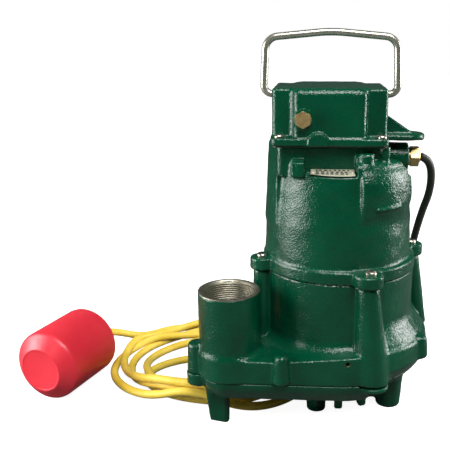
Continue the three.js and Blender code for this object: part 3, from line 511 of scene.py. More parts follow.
COLUMNS = (  # bottom, radius, out, along: the foot of each lug's column
    (70, 8.5, 0, 0), (53, 15, 2, 6), (70, 8.5, 15, 2), (60, 11, 4, 0),
)
BOSSES = (  # x, y, bottom, top, radius
    (-54.5, -91.5, 57, 87, 9), (-138.5, -64, 54, 86, 11.8), (82, -40, 64, 88, 9), (20, 92, 54, 84, 9),
    (66, 65, 54, 84, 9),
)
BASE_SCREWS = (  # x, y, ear, low
    (-138.5, -64, 11.8, 42), (66, 65, 9, 48), (20, 92, 9, 48), (34, -77.3, 14.5, 48),
)


def columns(grid, grow=0.0):
    parts = []
    for angle, (bottom, radius, out, along) in zip(LUG_ANGLES, COLUMNS):
        x, y = on_circle(LUG_CIRCLE, angle)
        ux, uy = on_circle(1, angle)
        foot_x, foot_y = x + out * ux - along * uy, y + out * uy + along * ux
        for shift in (0, FRONT_LUG_SHIFT) if angle == FRONT_LUG else (0,):
            foot = (foot_x - shift, foot_y, radius + grow)
            parts.append(grid.leaning(foot, (x - shift, y, 9 + grow), bottom - grow, BODY_TOP, 2.5))
    return parts


def rounded_in(grid, shape, joint_radius, high):
    """The volute's underside rounds in towards the joint, on the right and at the back."""
    slope = (VOLUTE_RADIUS + 1.2 - joint_radius) / (high - BASE_JOINT)
    outside = (grid.circle(0, 0, joint_radius) - slope * (grid.z - BASE_JOINT)) / math.hypot(1, slope)
    waste = np.maximum(np.maximum(-outside, grid.z - high), grid.sector(28, 250))
    return cut(shape, waste, fillet=2.5)


def pump_body():
    grid = Grid((-155, -106, 52.6), (106, 107, 154), 1.2)
    plan = snail(grid)
    ledge = 79 + 5.5 * np.clip((grid.x + 55) / 65, 0, 1)  # rises towards the bowl
    passage_roof = rounded_and(plan, grid.z - ledge, 1.8)
    tower = grid.turned([(0, 50), (WALL_RADIUS, 50), (WALL_RADIUS, 160), (0, 160)])
    bowl = grid.turned([
        (60, 50), (91.4, 50), (92.6, 60), (93, 66), (92.3, 76), (87.4, 90), (80.6, 99), (75, 105), (60, 105),
    ])
    bowl = rounded_and(bowl, grid.sector(22, 255), 3)
    outlet = grid.post(*DISCHARGE, DISCHARGE_RADIUS, 40, 139.9, 0.6)
    whole = coved(passage_roof, tower, 11)
    whole = rounded_in(grid, join(whole, bowl, fillet=5), 88, 64)
    whole = coved(whole, outlet, 6)
    for x, y, bottom, top, radius in BOSSES:
        whole = join(whole, grid.leaning((x, y, radius), (x, y, radius - 2), bottom, top, 4), fillet=3)
    for column in columns(grid):
        whole = join(whole, column, fillet=3.5)
    whole = whole + waviness(grid, 3)
    whole = np.maximum(whole, grid.band(BODY_BOTTOM, BODY_TOP))
    chamber = grid.turned([(0, 50), (80, 50), (80, 70), (70, 77), (66, 92), (0, 92)])
    channel = grid.block(-103, -10, -84, -48, 50, 72)
    bore = join(grid.post(*DISCHARGE, 21, 50, 112), grid.post(*DISCHARGE, 25.6, 110, 145))
    motor_well = grid.turned([(27, 122), (62, 122), (62, 156), (0, 156), (0, 134), (27, 134)])
    seats = join(grid.post(0, 0, 20.4, 122, 135), grid.post(0, 0, 16.4, 90, 123))
    groove = grid.turned([(70, BODY_TOP - 3.2), (73.6, BODY_TOP - 3.2), (73.6, 156), (70, 156)])
    weep = grid.bar("y", (WEEP_X, -88, WEEP_Z), 1.9, 24)
    return grid, cut(whole, chamber, channel, bore, motor_well, seats, groove, weep)


def base_plate():
    grid = Grid((-155, -108, -2), (106, 107, 57), 1.25)
    climb = np.clip((grid.z - BASE_BOTTOM) / (BASE_JOINT - BASE_BOTTOM), 0, 1)
    inset = 10 * (1 - np.sin(climb * math.pi / 2)) + 0.2
    skirt = rounded_and(rounded_in(grid, snail(grid) + inset, 88.5, 60), BASE_BOTTOM - grid.z, 1.5)
    strainer = grid.turned([(42, 8), (51, 8), (53, 37), (42, 37)])
    windows, middle, crown = 12, 46.5, 19
    for i in range(windows):
        turn = 360 / windows * i - 13
        x, y = on_circle(middle, turn)
        ux, uy = on_circle(1, turn)
        across = np.abs((grid.x - x) * -uy + (grid.y - y) * ux)
        along = np.abs((grid.x - x) * ux + (grid.y - y) * uy) - 14
        arch = np.where(grid.z > crown, np.hypot(across, grid.z - crown), across) - 8.6
        strainer = cut(strainer, np.maximum(arch, along), fillet=2)
    coil = np.hypot((grid.x + 140) / 128, (grid.y - 51) / 110.5) - 1  # the oval the coiled cord lies in
    strainer = cut(strainer, np.maximum(coil * 110, grid.z - 24))
    whole = join(skirt, strainer, fillet=5)
    for x, y, ear, low in BASE_SCREWS:
        whole = join(whole, rounded_and(grid.circle(x, y, ear), low - grid.z, 1.5), fillet=4)
    for column in columns(grid, 0.5):
        whole = cut(whole, column)
    heel = 0.11 * (45 - grid.z) * (0.25 + 0.75 * np.clip((-112 - grid.x) / 16, 0, 1))
    foot_plan = grid.rectangle(-133, -107.5, -72.5, -60, 5.5) + heel
    feet = [rounded_and(foot_plan, grid.band(0, 48), 1.5)]
    for x, y, radius in ((-21, -36, 9.5), (55, -20, 12.5), (15, 64, 10.5)):
        feet.append(grid.leaning((x, y, radius), (x, y, radius + 3), 0, 46, 1.5))
    for foot in feet:
        whole = join(whole, foot, fillet=6)
    whole = whole + waviness(grid, 5)
    whole = np.maximum(np.maximum(whole, grid.z - (BASE_JOINT - 0.05)), -grid.z)
    whole = cut(whole, grid.post(0, 0, 25, 30, 60), fillet=3)
    for x, y, _, low in BASE_SCREWS:
        whole = cut(whole, grid.post(x, y, 6.4, 30, low), grid.post(x, y, 3.3, 30, 60))
    return grid, whole


def motor_housing():
    grid = Grid((-92, -94, 150), (94, 94, 280), 1.2)
    flange = grid.turned([
        (0, HOUSING_BOTTOM), (FLANGE_RADIUS, HOUSING_BOTTOM), (FLANGE_RADIUS, FLANGE_TOP - 1),
        (FLANGE_RADIUS - 1, FLANGE_TOP), (0, FLANGE_TOP),
    ])
    across = np.hypot(grid.x + 1.9, grid.y)
    barrel_radius = np.interp(grid.heights, (150, 170, 204, 250, 258), (74, 74, 72.6, 68, 67.4))
    barrel = rounded_and((across - barrel_radius) * 0.99, grid.z - 264, 4.5)
    whole = join(flange, barrel, fillet=4)
    for angle in LUG_ANGLES:
        x, y = on_circle(LUG_CIRCLE, angle)
        tab = grid.circle(x, y, LUG_RADIUS)
        if angle == FRONT_LUG:
            tab = np.minimum(tab, grid.circle(x - FRONT_LUG_SHIFT, y, LUG_RADIUS))
        whole = join(whole, rounded_and(tab, grid.band(HOUSING_BOTTOM, FLANGE_TOP), 1.6), fillet=4)
    left_wall = np.maximum(grid.sector(-132, -58), grid.circle(0, 0, 72.2))
    whole = join(whole, rounded_and(left_wall, grid.band(200, NECK_TOP), 2.0), fillet=9)
    ridge = grid.rod((-60.2, -38.4, 268), (-61.4, -39.2, 211), 1.8)
    whole = join(whole, ridge, fillet=2)
    bulge = grid.turned([
        (50, 205), (70, 208), (73.4, 217), (75.1, 226), (75.1, 238), (74, 247), (70.6, 255), (65.5, 261),
        (59, 264.6), (50, 265.5),
    ])
    bulge = rounded_and(bulge, grid.sector(14, 66), 4)
    whole = join(whole, bulge, fillet=3)
    bend = (44.3, -60.5, 222.9)
    rib = join(grid.rod((33.0, -67.3, 222.6), bend, 1.8), grid.rod(bend, (54.4, -51.7, 223.2), 1.8))
    whole = join(whole, rib, fillet=1.5)
    whole = cut(whole, grid.block(-47.5, 13.5, -90, -40, 253, 285, 1))
    whole = cut(whole, grid.block(41, 100, -34, 80, 249, 285, 2))
    neck = grid.block(-62, 38, -46.5, 50, 249, NECK_TOP, 1.2, corner=6)
    whole = join(whole, neck, fillet=1.5)
    pocket = grid.block(-47, -35, -65, -40, 251, 266, 2)
    pocket = cut(pocket, grid.rod((-44.5, -67, 258), (-44.5, -67, 270), 3))
    right_lug = join(grid.post(21.5, -54, 7.6, 255, 273, 2), grid.block(12, 22, -58, -44, 250, 270.5, 2))
    corner_post = grid.post(39, -44, 5, 255, NECK_TOP, 1)
    cord_boss = grid.bar("x", (48.5, *GLAND), 14, 37, 2)
    whole = join(whole, pocket, right_lug, corner_post, cord_boss, fillet=2.5)
    whole = np.maximum(np.maximum(whole, grid.z - NECK_TOP), HOUSING_BOTTOM - grid.z)
    whole = whole + waviness(grid, 8)
    motor_bore = grid.turned([
        (0, 140), (66, 140), (66, 224), (63, 231), (60, 246), (25, 246), (24, 233), (18.3, 233),
        (18.3, 245.5), (0, 245.5),
    ])
    neck_well = grid.block(-55, 32, -39.5, 43, 254, 285, 1, corner=4)
    cord_bore = grid.bar("x", (47, *GLAND), 6.4, 60)
    wire_hole = grid.post(-35, 12, 7, 240, 256)
    return grid, cut(whole, motor_bore, neck_well, cord_bore, wire_hole)


def cap_cover():
    grid = Grid((-74, -62, 277), (86, 60, 335), 1.0)

    def centred(half, front, back, corner):
        return grid.rectangle(CAP_X - half, CAP_X + half, CAP_FRONT + front, CAP_BACK - back, corner)

    plate = rounded_and(centred(CAP_HALF + 1, -1.5, -1, 7), grid.band(CAP_BOTTOM, 286), 1.2)
    drum = rounded_and(centred(CAP_PANEL, 0, 0, 6), grid.band(260, CAP_TOP), 7)
    sides = rounded_and(centred(CAP_HALF, 14, 13, 5), grid.band(260, CAP_TOP - 1.1), 3)
    walls = coved(drum, sides, 6)
    crown = CAP_TOP - 0.045 * np.maximum(np.abs(grid.x - CAP_X) - CAP_PANEL, 0) - grid.z
    walls = np.maximum(walls, -crown)
    whole = join(walls, plate, fillet=2.5)
    dome = rounded_and(grid.bar("y", (-23, CAP_FRONT + 0.6, 282), 9.5, 8, 1.5), CAP_BOTTOM - grid.z, 0)
    plug_boss = grid.bar("y", (FILLER_X, CAP_FRONT + 2.8, FILLER_Z), 9, 6, 1)
    whole = join(whole, dome, plug_boss, fillet=2.5)
    ear = np.minimum(grid.circle(64.5, 2, 17), grid.rectangle(30, 64.5, -15, 19))
    whole = join(whole, rounded_and(ear, grid.band(CAP_BOTTOM, 285), 2.6), fillet=3)
    rib = np.maximum(grid.z - (284 + (72 - grid.x) * 0.66), np.abs(grid.y + 4) - 4)
    rib = np.maximum(rib, np.maximum(30 - grid.x, 280 - grid.z))
    whole = join(whole, np.maximum(rib, grid.z - 303), fillet=3.5)
    whole = np.maximum(whole, CAP_BOTTOM - grid.z)
    whole = whole + waviness(grid, 13, 0.13)
    room = np.minimum(centred(28, 5.5, 5.5, 4), centred(CAP_HALF - 5.5, 19.5, 18.5, 4))
    whole = cut(whole, rounded_and(room, grid.band(270, 318), 3))
    pivots = np.maximum(grid.bar("x", (CAP_X, HANDLE_Y, HANDLE_Z), 4.4, 140), 47.7 - np.abs(grid.x - CAP_X))
    return grid, cut(whole, pivots, grid.bar("y", (FILLER_X, CAP_FRONT, FILLER_Z), 4.4, 20))


def make_castings():
    castings = (
        ("pump_casting", pump_body, "pump_body"), ("base_casting", base_plate, "base_plate"),
        ("housing_casting", motor_housing, "motor_housing"), ("cap_casting", cap_cover, "cap_cover"),
    )
    for name, shape, node in castings:
        add(name, surface(name, *shape()), "enamel", replaces=[node])


# ---------------------------------------------------------------- turned, bent and moulded pieces
def ringed(name, rings, place, sharp, closed=True):
    """Solid round Z of a placement; each ring is a height and its radii at equal steps of the turn."""
    sides = len(rings[0][1])
    vertices = []
    for height, radii in rings:
        for j, radius in enumerate(radii):
            angle = 2 * math.pi * j / sides
            across, along = radius * math.cos(angle) * MM, radius * math.sin(angle) * MM
            vertices.append(tuple(place @ Vector((across, along, height * MM))))
    faces = []
    rows = len(rings)
    for i in range(rows if closed else rows - 1):
        for j in range(sides):
            k, m = (i + 1) % rows, (j + 1) % sides
            faces.append((i * sides + j, i * sides + m, k * sides + m, k * sides + j))
    mesh = bpy.data.meshes.new(name)
    mesh.from_pydata(vertices, [], faces)
    mesh.shade_smooth()
    tidy(mesh, sharp)
    return mesh


def lathe(name, profile, place=Matrix.Identity(4), sides=72, sharp=32):
    """Solid of revolution about Z from (radius, height) points that start and end on the axis or close."""
    rings = [(height, [radius] * sides) for radius, height in profile]
    return ringed(name, rings, place, sharp, closed=profile[0][0] > 1e-6)


def tidy(mesh, sharp):
    """Welds doubled points, points the faces outward and keeps true edges crisp."""
    work = bmesh.new()
    work.from_mesh(mesh)
    bmesh.ops.remove_doubles(work, verts=work.verts, dist=1e-6)
    bmesh.ops.dissolve_degenerate(work, edges=work.edges, dist=1e-7)
    bmesh.ops.recalc_face_normals(work, faces=work.faces)
    limit = math.radians(sharp)
    for edge in work.edges:
        edge.smooth = len(edge.link_faces) == 2 and edge.calc_face_angle(0) < limit
    work.to_mesh(mesh)
    work.free()


def thread_liner():
    """Machined rim of the discharge and its tapered pipe thread."""
    pitch, depth, bottom, top = 2.209, 1.15, 112.5, 138.6
    root, taper = 23.5, 0.0313
    sides, rows = 120, 156
    rings = []
    for i in range(rows):
        height = bottom + (top - bottom) * i / (rows - 1)
        radii = []
        for j in range(sides):
            phase = ((height - bottom) / pitch - j / sides) % 1.0
            tooth = 1 - abs(2 * phase - 1)
            radii.append(root + taper * (height - bottom) + depth * min(1.0, max(0.0, 1.25 * tooth - 0.12)))
        rings.append((height, radii))
    rim = [
        (26.6, 140.5), (27.0, 140.75), (29.3, 140.75), (30.0, 140.35), (30.15, 139.75), (26.0, 139.6),
        (26.0, 112.0), (24.0, 111.8),
    ]
    rings += [(height, [radius] * sides) for radius, height in rim]
    place = Matrix.Translation(at(*DISCHARGE, 0))
    add("discharge_thread", ringed("discharge_thread", rings, place, 35), "machined")


def facing(axis, point):
    """Placement whose Z runs along X or against Y of the frame."""
    return Matrix.Translation(point) @ Matrix.Rotation(math.pi / 2, 4, {"x": "Y", "-y": "X"}[axis])


def hexagon_piece(name, flats, bottom, top, bore, chamfer, place):
    """Hexagon with turned chamfers on both ends, bored when the bore is not nought."""
    sides = 72
    corner = flats / math.sqrt(3) - 0.12
    ends = ((bottom, chamfer), (bottom + chamfer * 0.6, 0.0), (top - chamfer * 0.6, 0.0), (top, chamfer))
    rings = []
    for height, trim in ends:
        radii = []
        for j in range(sides):
            to_flat = (2 * math.pi * j / sides + math.pi / 6) % (math.pi / 3) - math.pi / 6
            radii.append(min(flats / 2 / math.cos(to_flat), corner - trim))
        rings.append((height, radii))
    inner = [max(bore, 0.001)] * sides
    return ringed(name, rings + [(top, inner), (bottom, inner)], place, 25)


def joined_mesh(name, meshes):
    work = bmesh.new()
    for mesh in meshes:
        work.from_mesh(mesh)
    whole = bpy.data.meshes.new(name)
    work.to_mesh(whole)
    work.free()
    return whole


def pan_screw(name, point, head, rise, shank, length):
    """Pan head with a cross recess, on a plain shank."""
    profile = [(0.0, -length), (shank, -length), (shank, 0.0), (head * 0.97, 0.0), (head, rise * 0.3),
               (head * 0.9, rise * 0.72), (head * 0.66, rise * 0.95), (head * 0.45, rise), (0.0, rise)]
    holder = placed(name, lathe(name, profile, sides=40, sharp=40))
    cutter = bmesh.new()
    for angle in (0.35, 0.35 + math.pi / 2):
        size = Matrix.Diagonal((head * 1.15 * MM, head * 0.24 * MM, rise * 1.1 * MM, 1.0))
        turn = Matrix.Rotation(angle, 4, "Z")
        bmesh.ops.create_cube(cutter, size=1.0, matrix=Matrix.Translation((0, 0, rise * MM)) @ turn @ size)
    tool_mesh = bpy.data.meshes.new("recess")
    cutter.to_mesh(tool_mesh)
    cutter.free()
    tool = placed("recess", tool_mesh)
    modifier = holder.modifiers.new("recess", "BOOLEAN")
    modifier.operation = "DIFFERENCE"
    modifier.object = tool
    modifier.use_self = True
    shape = bpy.data.meshes.new_from_object(holder.evaluated_get(bpy.context.evaluated_depsgraph_get()))
    bpy.data.objects.remove(holder)
    bpy.data.objects.remove(tool)
    shape.transform(Matrix.Translation(point))
    shape.name = name
    return shape


def make_screws():
    places = [("lug", "housing", *on_circle(LUG_CIRCLE, angle)) for angle in LUG_ANGLES]
    places += [("cover", "cap", x, y) for x, y in ((-59.5, -47.5), (35.5, -47.5), (-59.5, 48), (35.5, 48))]
    sizes = {"lug": (164.2, 5.6, 3.6, 2.9, 70), "cover": (286.2, 4.6, 3.0, 2.4, 7)}
    for i, (kind, node, x, y) in enumerate(places):
        height, *size = sizes[kind]
        name = f"{kind}_screw_{i % 4 + 1}"
        mesh = pan_screw(name, at(x, y, height), *size)
        add(name, mesh, "screw", replaces=[f"{node}_screw_{i % 4 + 1}"])


def make_brass():
    place = facing("-y", at(FILLER_X, CAP_FRONT - 0.5, FILLER_Z))
    hexagon = hexagon_piece("plug_hexagon", 13.7, 0, 6.2, 0.0, 0.35, place)
    dish = lathe("plug_collar", [(0, -8), (4.2, -8), (4.2, -0.4), (7.6, -0.4), (7.6, 0.1), (0, 0.1)], place)
    add("filler_plug", joined_mesh("filler_plug", [hexagon, dish]), "brass", replaces=["oil_plug"])
    place = facing("x", at(67.2, *GLAND))
    nut = hexagon_piece("gland_hexagon", 19, 2.0, 10.2, 5.9, 0.5, place)
    collar = lathe("gland_collar", [(6.0, 0.1), (9.1, 0.1), (9.1, 1.6), (8.2, 2.1), (6.0, 2.1)], place)
    lip = lathe("gland_lip", [(4.9, 9.6), (6.9, 9.6), (6.9, 11.0), (6.3, 11.5), (5.0, 11.5)], place)
    add("gland_nut", joined_mesh("gland_nut", [nut, collar, lip]), "brass", replaces=["cord_gland_nut"])


def round_bar(name, line, diameter, sides):
    """Curve of a round bar or cord along one open line of points in millimetres."""
    data = bpy.data.curves.new(name, "CURVE")
    data.dimensions = "3D"
    data.bevel_depth = diameter * MM / 2
    data.bevel_resolution = sides
    data.use_fill_caps = True
    spline = data.splines.new("POLY")
    spline.points.add(len(line) - 1)
    spline.points.foreach_set("co", np.c_[[tuple(at(*point)) for point in line], np.ones(len(line))].ravel())
    spline.use_smooth = True
    return data


def rounded_line(corners, radii, step=1.0):
    """Straight runs in millimetres with circular bends at the corners."""
    line = [np.array(corners[0], float)]
    for before, corner, after, radius in zip(corners, corners[1:], corners[2:], radii):
        before, corner, after = (np.array(p, float) for p in (before, corner, after))
        back = (before - corner) / np.linalg.norm(before - corner)
        on = (after - corner) / np.linalg.norm(after - corner)
        half = math.acos(float(back @ on)) / 2
        reach = radius / math.tan(half)
        centre = corner + (back + on) / np.linalg.norm(back + on) * radius / math.sin(half)
        start, end = corner + back * reach, corner + on * reach
        swing = math.pi - 2 * half
        u = (start - centre) / radius
        v = (end - centre) / radius
        count = max(3, int(radius * swing / step))
        for i in range(count + 1):
            share = i / count
            weight_u = math.sin((1 - share) * swing) / math.sin(swing)
            weight_v = math.sin(share * swing) / math.sin(swing)
            line.append(centre + radius * (u * weight_u + v * weight_v))
    line.append(np.array(corners[-1], float))
    return line


def make_handle():
    centre, reach, shoulder, end, ends, peak = -11.7, 66.4, 63.8, 49.7, 375.5, 381.5
    corners = [(-end, HANDLE_Z), (-reach, HANDLE_Z), (-shoulder, ends), (0, peak), (shoulder, ends),
               (reach, HANDLE_Z), (end, HANDLE_Z)]
    line = rounded_line([(centre + x, HANDLE_Y, z) for x, z in corners], [8.5, 13, 160, 13, 8.5])
    wire = round_bar("handle_wire", line, 7.1, 10)
    add("handle_wire", wire, "stainless", body="handle", replaces=["bail_handle"])


def make_nameplate():
    """Blank data plate lying on the shelf, tipped a little forward, with stamped cells and two rivets."""
    grid = Grid((-31, -71, 252), (13, -46, 259), 0.35)
    level = grid.z - 254.2 - 0.11 * (grid.y + 68)
    plan = np.maximum(grid.rectangle(-29.6, 11.2, -74, -47.5, 0.5), grid.circle(-1.9, 0, 67.6))
    plate = rounded_and(plan, np.abs(level) - 0.45, 0.2)
    for x in (-27.4, 9.0):
        plate = np.minimum(plate, np.maximum(grid.circle(x, -58, 1.2), np.abs(level - 0.6) - 0.5))
    marks = []
    random = np.random.default_rng(4)
    for row in range(3):
        x = -25.0
        while x < 5.5:
            width = random.uniform(1.4, 3.4)
            cell = grid.rectangle(x, x + width, -64.0 + 5.4 * row, -60.6 + 5.4 * row, 0.3)
            marks.append(np.maximum(cell, np.abs(level - 0.5) - 0.25))
            x += width + random.uniform(1.1, 2.2)
    add("data_plate", surface("data_plate", grid, plate), "plate", replaces=["nameplate"])
    add("data_plate_marks", surface("data_plate_marks", grid, np.minimum.reduce(marks)), "black")


# ---------------------------------------------------------------- cords
POWER_CORD, SWITCH_CORD = 8.0, 8.8  # diameters
POWER_ROUTE = [
    (79.8, *GLAND), (85.5, 9.5, 258.5), (91, 14, 249.5), (93.8, 21, 235), (93.6, 30, 217), (90.5, 41, 198),
    (87.5, 53, 176), (85, 64, 152), (84, 74, 126), (84, 84, 98), (86, 94, 70), (89, 106, 42), (94, 120, 19),
    (98.5, 135, 7), (101, 148, 4.6), (101.8, 158, 4.4),
]
POWER_END = [
    (102.3, 182, 4.4), (102, 197, 4.6), (99.5, 210, 5.5), (94, 222, 8), (85.5, 232.5, 11.5), (75, 240, 15),
    (61.6, 243, 17.5), (54, 243, 17.5),
]
FLOAT_LEAD = [
    (-285.4, 37, 38), (-283.9, 41.6, 38), (-280.8, 50, 37.3), (-276.5, 60, 35), (-271, 71, 31),
    (-264.5, 82, 25.5), (-257.5, 92.5, 19), (-250, 103, 12.5), (-241.5, 114, 7.5), (-232, 125, 4.8),
    (-221, 135.5, 4.8), (-208, 143, 4.8), (-193, 147.5, 4.8), (-176, 148, 4.8), (-158, 145.5, 4.8),
    (-142, 141, 4.8),
]
SWITCH_END = [
    (-117, 159.5, 4.8), (-100, 161.8, 4.8), (-83, 162.8, 4.8), (-67, 163.6, 4.8), (-52, 165.6, 5),
    (-38, 170.2, 6), (-26, 177, 8.5), (-15.5, 185.5, 12), (-7.6, 195.2, 15.8), (-4, 205.6, 17.5),
    (-4, 212, 17.5),
]
LOOPS = [  # each loop's left, front, back and right limits, and the middle it swings about
    (-212.0, -37.0, 66.0, -48.0, -122.0), (-217.0, -41.0, 117.0, -56.0, -126.0),
    (-237.0, -45.5, 139.0, -38.0, -125.0), (-255.0, -55.0, 126.0, -24.0, -112.0),
    (-247.0, -50.5, 156.0, -30.0, -116.0),
]
LOOPS_START = (-128.0, 137.0)  # the middle and the back that the first loop comes from
TURNS = [59.8, 51.0, 42.7, 34.4, 38.6, 46.9, 42.8, 51.0, 60.2]  # radius where each stored turn starts
TURNS_CENTRE = (42, 158)
CORD_STEP = 4.0


def switch_coil():
    """Plan of the loose loops, clockwise from the back, each loop as two half ovals."""
    points = []
    steps = 22
    height = SWITCH_CORD / 2 + 0.4
    middle, back = LOOPS_START
    for left, front, next_back, right, x in LOOPS:
        for i in range(steps):
            share = i / steps
            angle = math.pi * (0.5 - share)
            swing = middle + (x - middle) * share
            points.append((swing + (right - swing) * math.cos(angle),
                           (back + front) / 2 + (back - front) / 2 * math.sin(angle), height))
        for i in range(steps):
            angle = math.pi * (1.5 - i / steps)
            points.append((x - (left - x) * math.cos(angle),
                           (next_back + front) / 2 + (next_back - front) / 2 * math.sin(angle), height))
        middle, back = x, next_back
    return points


def power_coil():
    """Plan of the stored turns, anticlockwise, wound inward and outward again."""
    steps, settled = 26, 0.35  # the share of the first turn after which its radius no longer changes
    points = []
    for i in range(1, (len(TURNS) - 1) * steps):
        turn = i / steps
        if turn < 1:
            radius = TURNS[0] + (TURNS[1] - TURNS[0]) * min(turn / settled, 1)
        else:
            radius = float(np.interp(turn, range(len(TURNS)), TURNS))
        angle = 2 * math.pi * turn
        x, y = TURNS_CENTRE
        points.append((x + radius * math.cos(angle), y + radius * math.sin(angle), POWER_CORD / 2 + 0.4))
    return points


def blend(t, start, first, end, second):
    """The point at t on the line that is at one point at its start and at another at its end."""
    return (end - t) / (end - start) * first + (t - start) / (end - start) * second


def smooth_line(points):
    """Centripetal spline through the points, sampled evenly."""
    points = [np.array(p, float) for p in points]
    points = [2 * points[0] - points[1]] + points + [2 * points[-1] - points[-2]]
    dense = []
    for a, b, c, d in zip(points, points[1:], points[2:], points[3:]):
        t0 = 0.0
        t1 = t0 + math.sqrt(np.linalg.norm(b - a))
        t2 = t1 + math.sqrt(np.linalg.norm(c - b))
        t3 = t2 + math.sqrt(np.linalg.norm(d - c))
        for t in np.linspace(t1, t2, 16, endpoint=False):
            ab, bc, cd = blend(t, t0, a, t1, b), blend(t, t1, b, t2, c), blend(t, t2, c, t3, d)
            dense.append(blend(t, t1, blend(t, t0, ab, t2, bc), t2, blend(t, t1, bc, t3, cd)))
    dense.append(points[-2])
    dense = np.array(dense)
    along = np.r_[0, np.cumsum(np.linalg.norm(np.diff(dense, axis=0), axis=1))]
    even = np.linspace(0, along[-1], int(along[-1] / CORD_STEP) + 1)
    return np.stack([np.interp(even, along, dense[:, k]) for k in range(3)], 1)


def lay(line, diameter, first, last):
    """Lifts each stretch over what already lies under it, in long low humps."""
    line = line.copy()
    floor = line[:, 2].copy()
    skip = int(3 * diameter / np.linalg.norm(line[1] - line[0]))
    for _ in range(3):
        for i in range(first, last):
            if i - skip < 1:
                continue
            before = line[: i - skip]
            gap = np.hypot(before[:, 0] - line[i, 0], before[:, 1] - line[i, 1])
            close = gap < diameter
            need = floor[i]
            if close.any():
                need = max(need, float((before[close, 2] + np.sqrt(diameter ** 2 - gap[close] ** 2)).max()))
            line[i, 2] = need
        base = line[:, 2].copy()
        height = base.copy()
        for _ in range(140):
            height[1:-1] = (height[:-2] + 2 * height[1:-1] + height[2:]) / 4
            height = np.maximum(height, base)
            height[:first] = line[:first, 2]
            height[last:] = line[last:, 2]
        line[:, 2] = height
    for _ in range(6):
        line[1:-1, 2] = (line[:-2, 2] + 2 * line[1:-1, 2] + line[2:, 2]) / 4
    return line


def steps_along(points):
    line = smooth_line(points)
    return int(float(np.linalg.norm(np.diff(line, axis=0), axis=1).sum()) / CORD_STEP)


# ---------------------------------------------------------------- the float and the plugs
FLOAT_NOSE, FLOAT_LENGTH, FLOAT_RADIUS = (-311.0, -44.0), 84.0, 38.0
FLOAT_HEADING = math.radians(72.5)


def along_float():
    """Placement whose Z runs from the float's nose to its cord."""
    turn = Matrix.Rotation(FLOAT_HEADING, 4, "Z") @ Matrix.Rotation(math.pi / 2, 4, "Y")
    return Matrix.Translation(at(*FLOAT_NOSE, FLOAT_RADIUS)) @ turn


def make_float():
    r, n = FLOAT_RADIUS, FLOAT_LENGTH
    profile = [
        (0, 0.5), (21.4, 0.5), (22.2, 0.35), (22.8, 0.0), (23.6, 0.0), (24.4, 0.5), (25.4, 1.4), (35.2, 8.8),
        (36.6, 10.1), (37.5, 11.6), (37.9, 13.4), (r, 15.5), (r, n - 4), (37.6, n - 2.2), (36.6, n - 0.8),
        (35.2, n - 0.15), (33.5, n), (9, n), (9, n - 3), (r - 6, n - 3), (r - 3, n - 6), (r - 3, 14),
        (22, 4), (0, 4),
    ]
    shell = lathe("float_body", profile, along_float(), 128, 40)
    body = add("float_body", shell, "red", replaces=["float_shell"])
    ring = [
        (4.7, n - 8), (8.7, n - 8), (8.7, n + 0.6), (8.2, n + 1.8), (7.4, n + 4.2), (6.6, n + 5),
        (4.7, n + 5),
    ]
    collar = lathe("float_sleeve", ring, along_float(), 48)
    sleeve = add("float_sleeve", collar, "red", replaces=["float_grommet"])
    return body, sleeve


PLUG = (-4.0, 243.0, 17.5)
BLADES = ((-6.4, 3), (6.4, 3), (0, -9))


def with_tail(whole, along, across, radius, taper, pitch, ribs, ends, bore, depth):
    """Adds a plug's ribbed, tapering tail, and bores it for the cord; along runs out of the plug's middle."""
    rib = 0.7 * np.cos(along * 2 * math.pi / pitch) * ((along > ribs[0]) & (along < ribs[1]))
    start, end = ends
    side = across - radius + taper * along - rib
    tail = rounded_and(side, np.abs(along - (start + end) / 2) - (end - start) / 2, 1)
    return cut(join(whole, tail, fillet=3), np.maximum(across - bore, depth - along))


def piggyback():
    """Plug that carries a socket on its back, with a ribbed neck for the switch cord."""
    x, y, z = PLUG
    grid = Grid((x - 17, y - 40, -1), (x + 17, y + 20, 37), 0.6)
    outline = square_outline(grid.y - y, grid.z - z, 17, 16.5, 7)
    body = rounded_and(outline, np.abs(grid.x - x) - 14, 2.2)
    waist = rounded_and(outline + 1.2, np.abs(grid.x - x) - 3, 0.5)
    across = np.hypot(grid.x - x, grid.z - z)
    whole = with_tail(join(body, waist), y - grid.y, across, 8.9, 0.06, 4.2, (20, 36), (15, 37), 4.5, 24)
    for dy, dz in BLADES:
        slot = np.maximum(np.abs(grid.y - y - dy) - 1.1, np.abs(grid.z - z - dz) - 3.3)
        whole = cut(whole, np.maximum(slot, x + 1 - grid.x))
    return surface("piggyback_socket", grid, whole)


def power_plug():
    """Straight plug with a finger grip and a ribbed tail."""
    x, y, z = PLUG
    grid = Grid((x + 12, y - 18, -1), (x + 68, y + 18, 36), 0.6)
    outline = square_outline(grid.y - y, grid.z - z, 14.5, 14.5, 6)
    taper = np.clip(grid.x - (x + 30), 0, 20) * 0.22
    whole = rounded_and(outline + taper, np.abs(grid.x - (x + 27.2)) - 12.8, 1.8)
    across = np.hypot(grid.y - y, grid.z - z)
    whole = with_tail(whole, grid.x - x, across, 11.0, 0.07, 4.0, (46, 70), (37.2, 64.8), 4.1, 50)
    for dx in (-4.5, 0, 4.5):
        groove = np.maximum(np.abs(grid.x - (x + 31 + dx)) - 0.8, 12.2 - np.abs(grid.y - y))
        whole = cut(whole, groove)
    return surface("mains_plug", grid, whole)


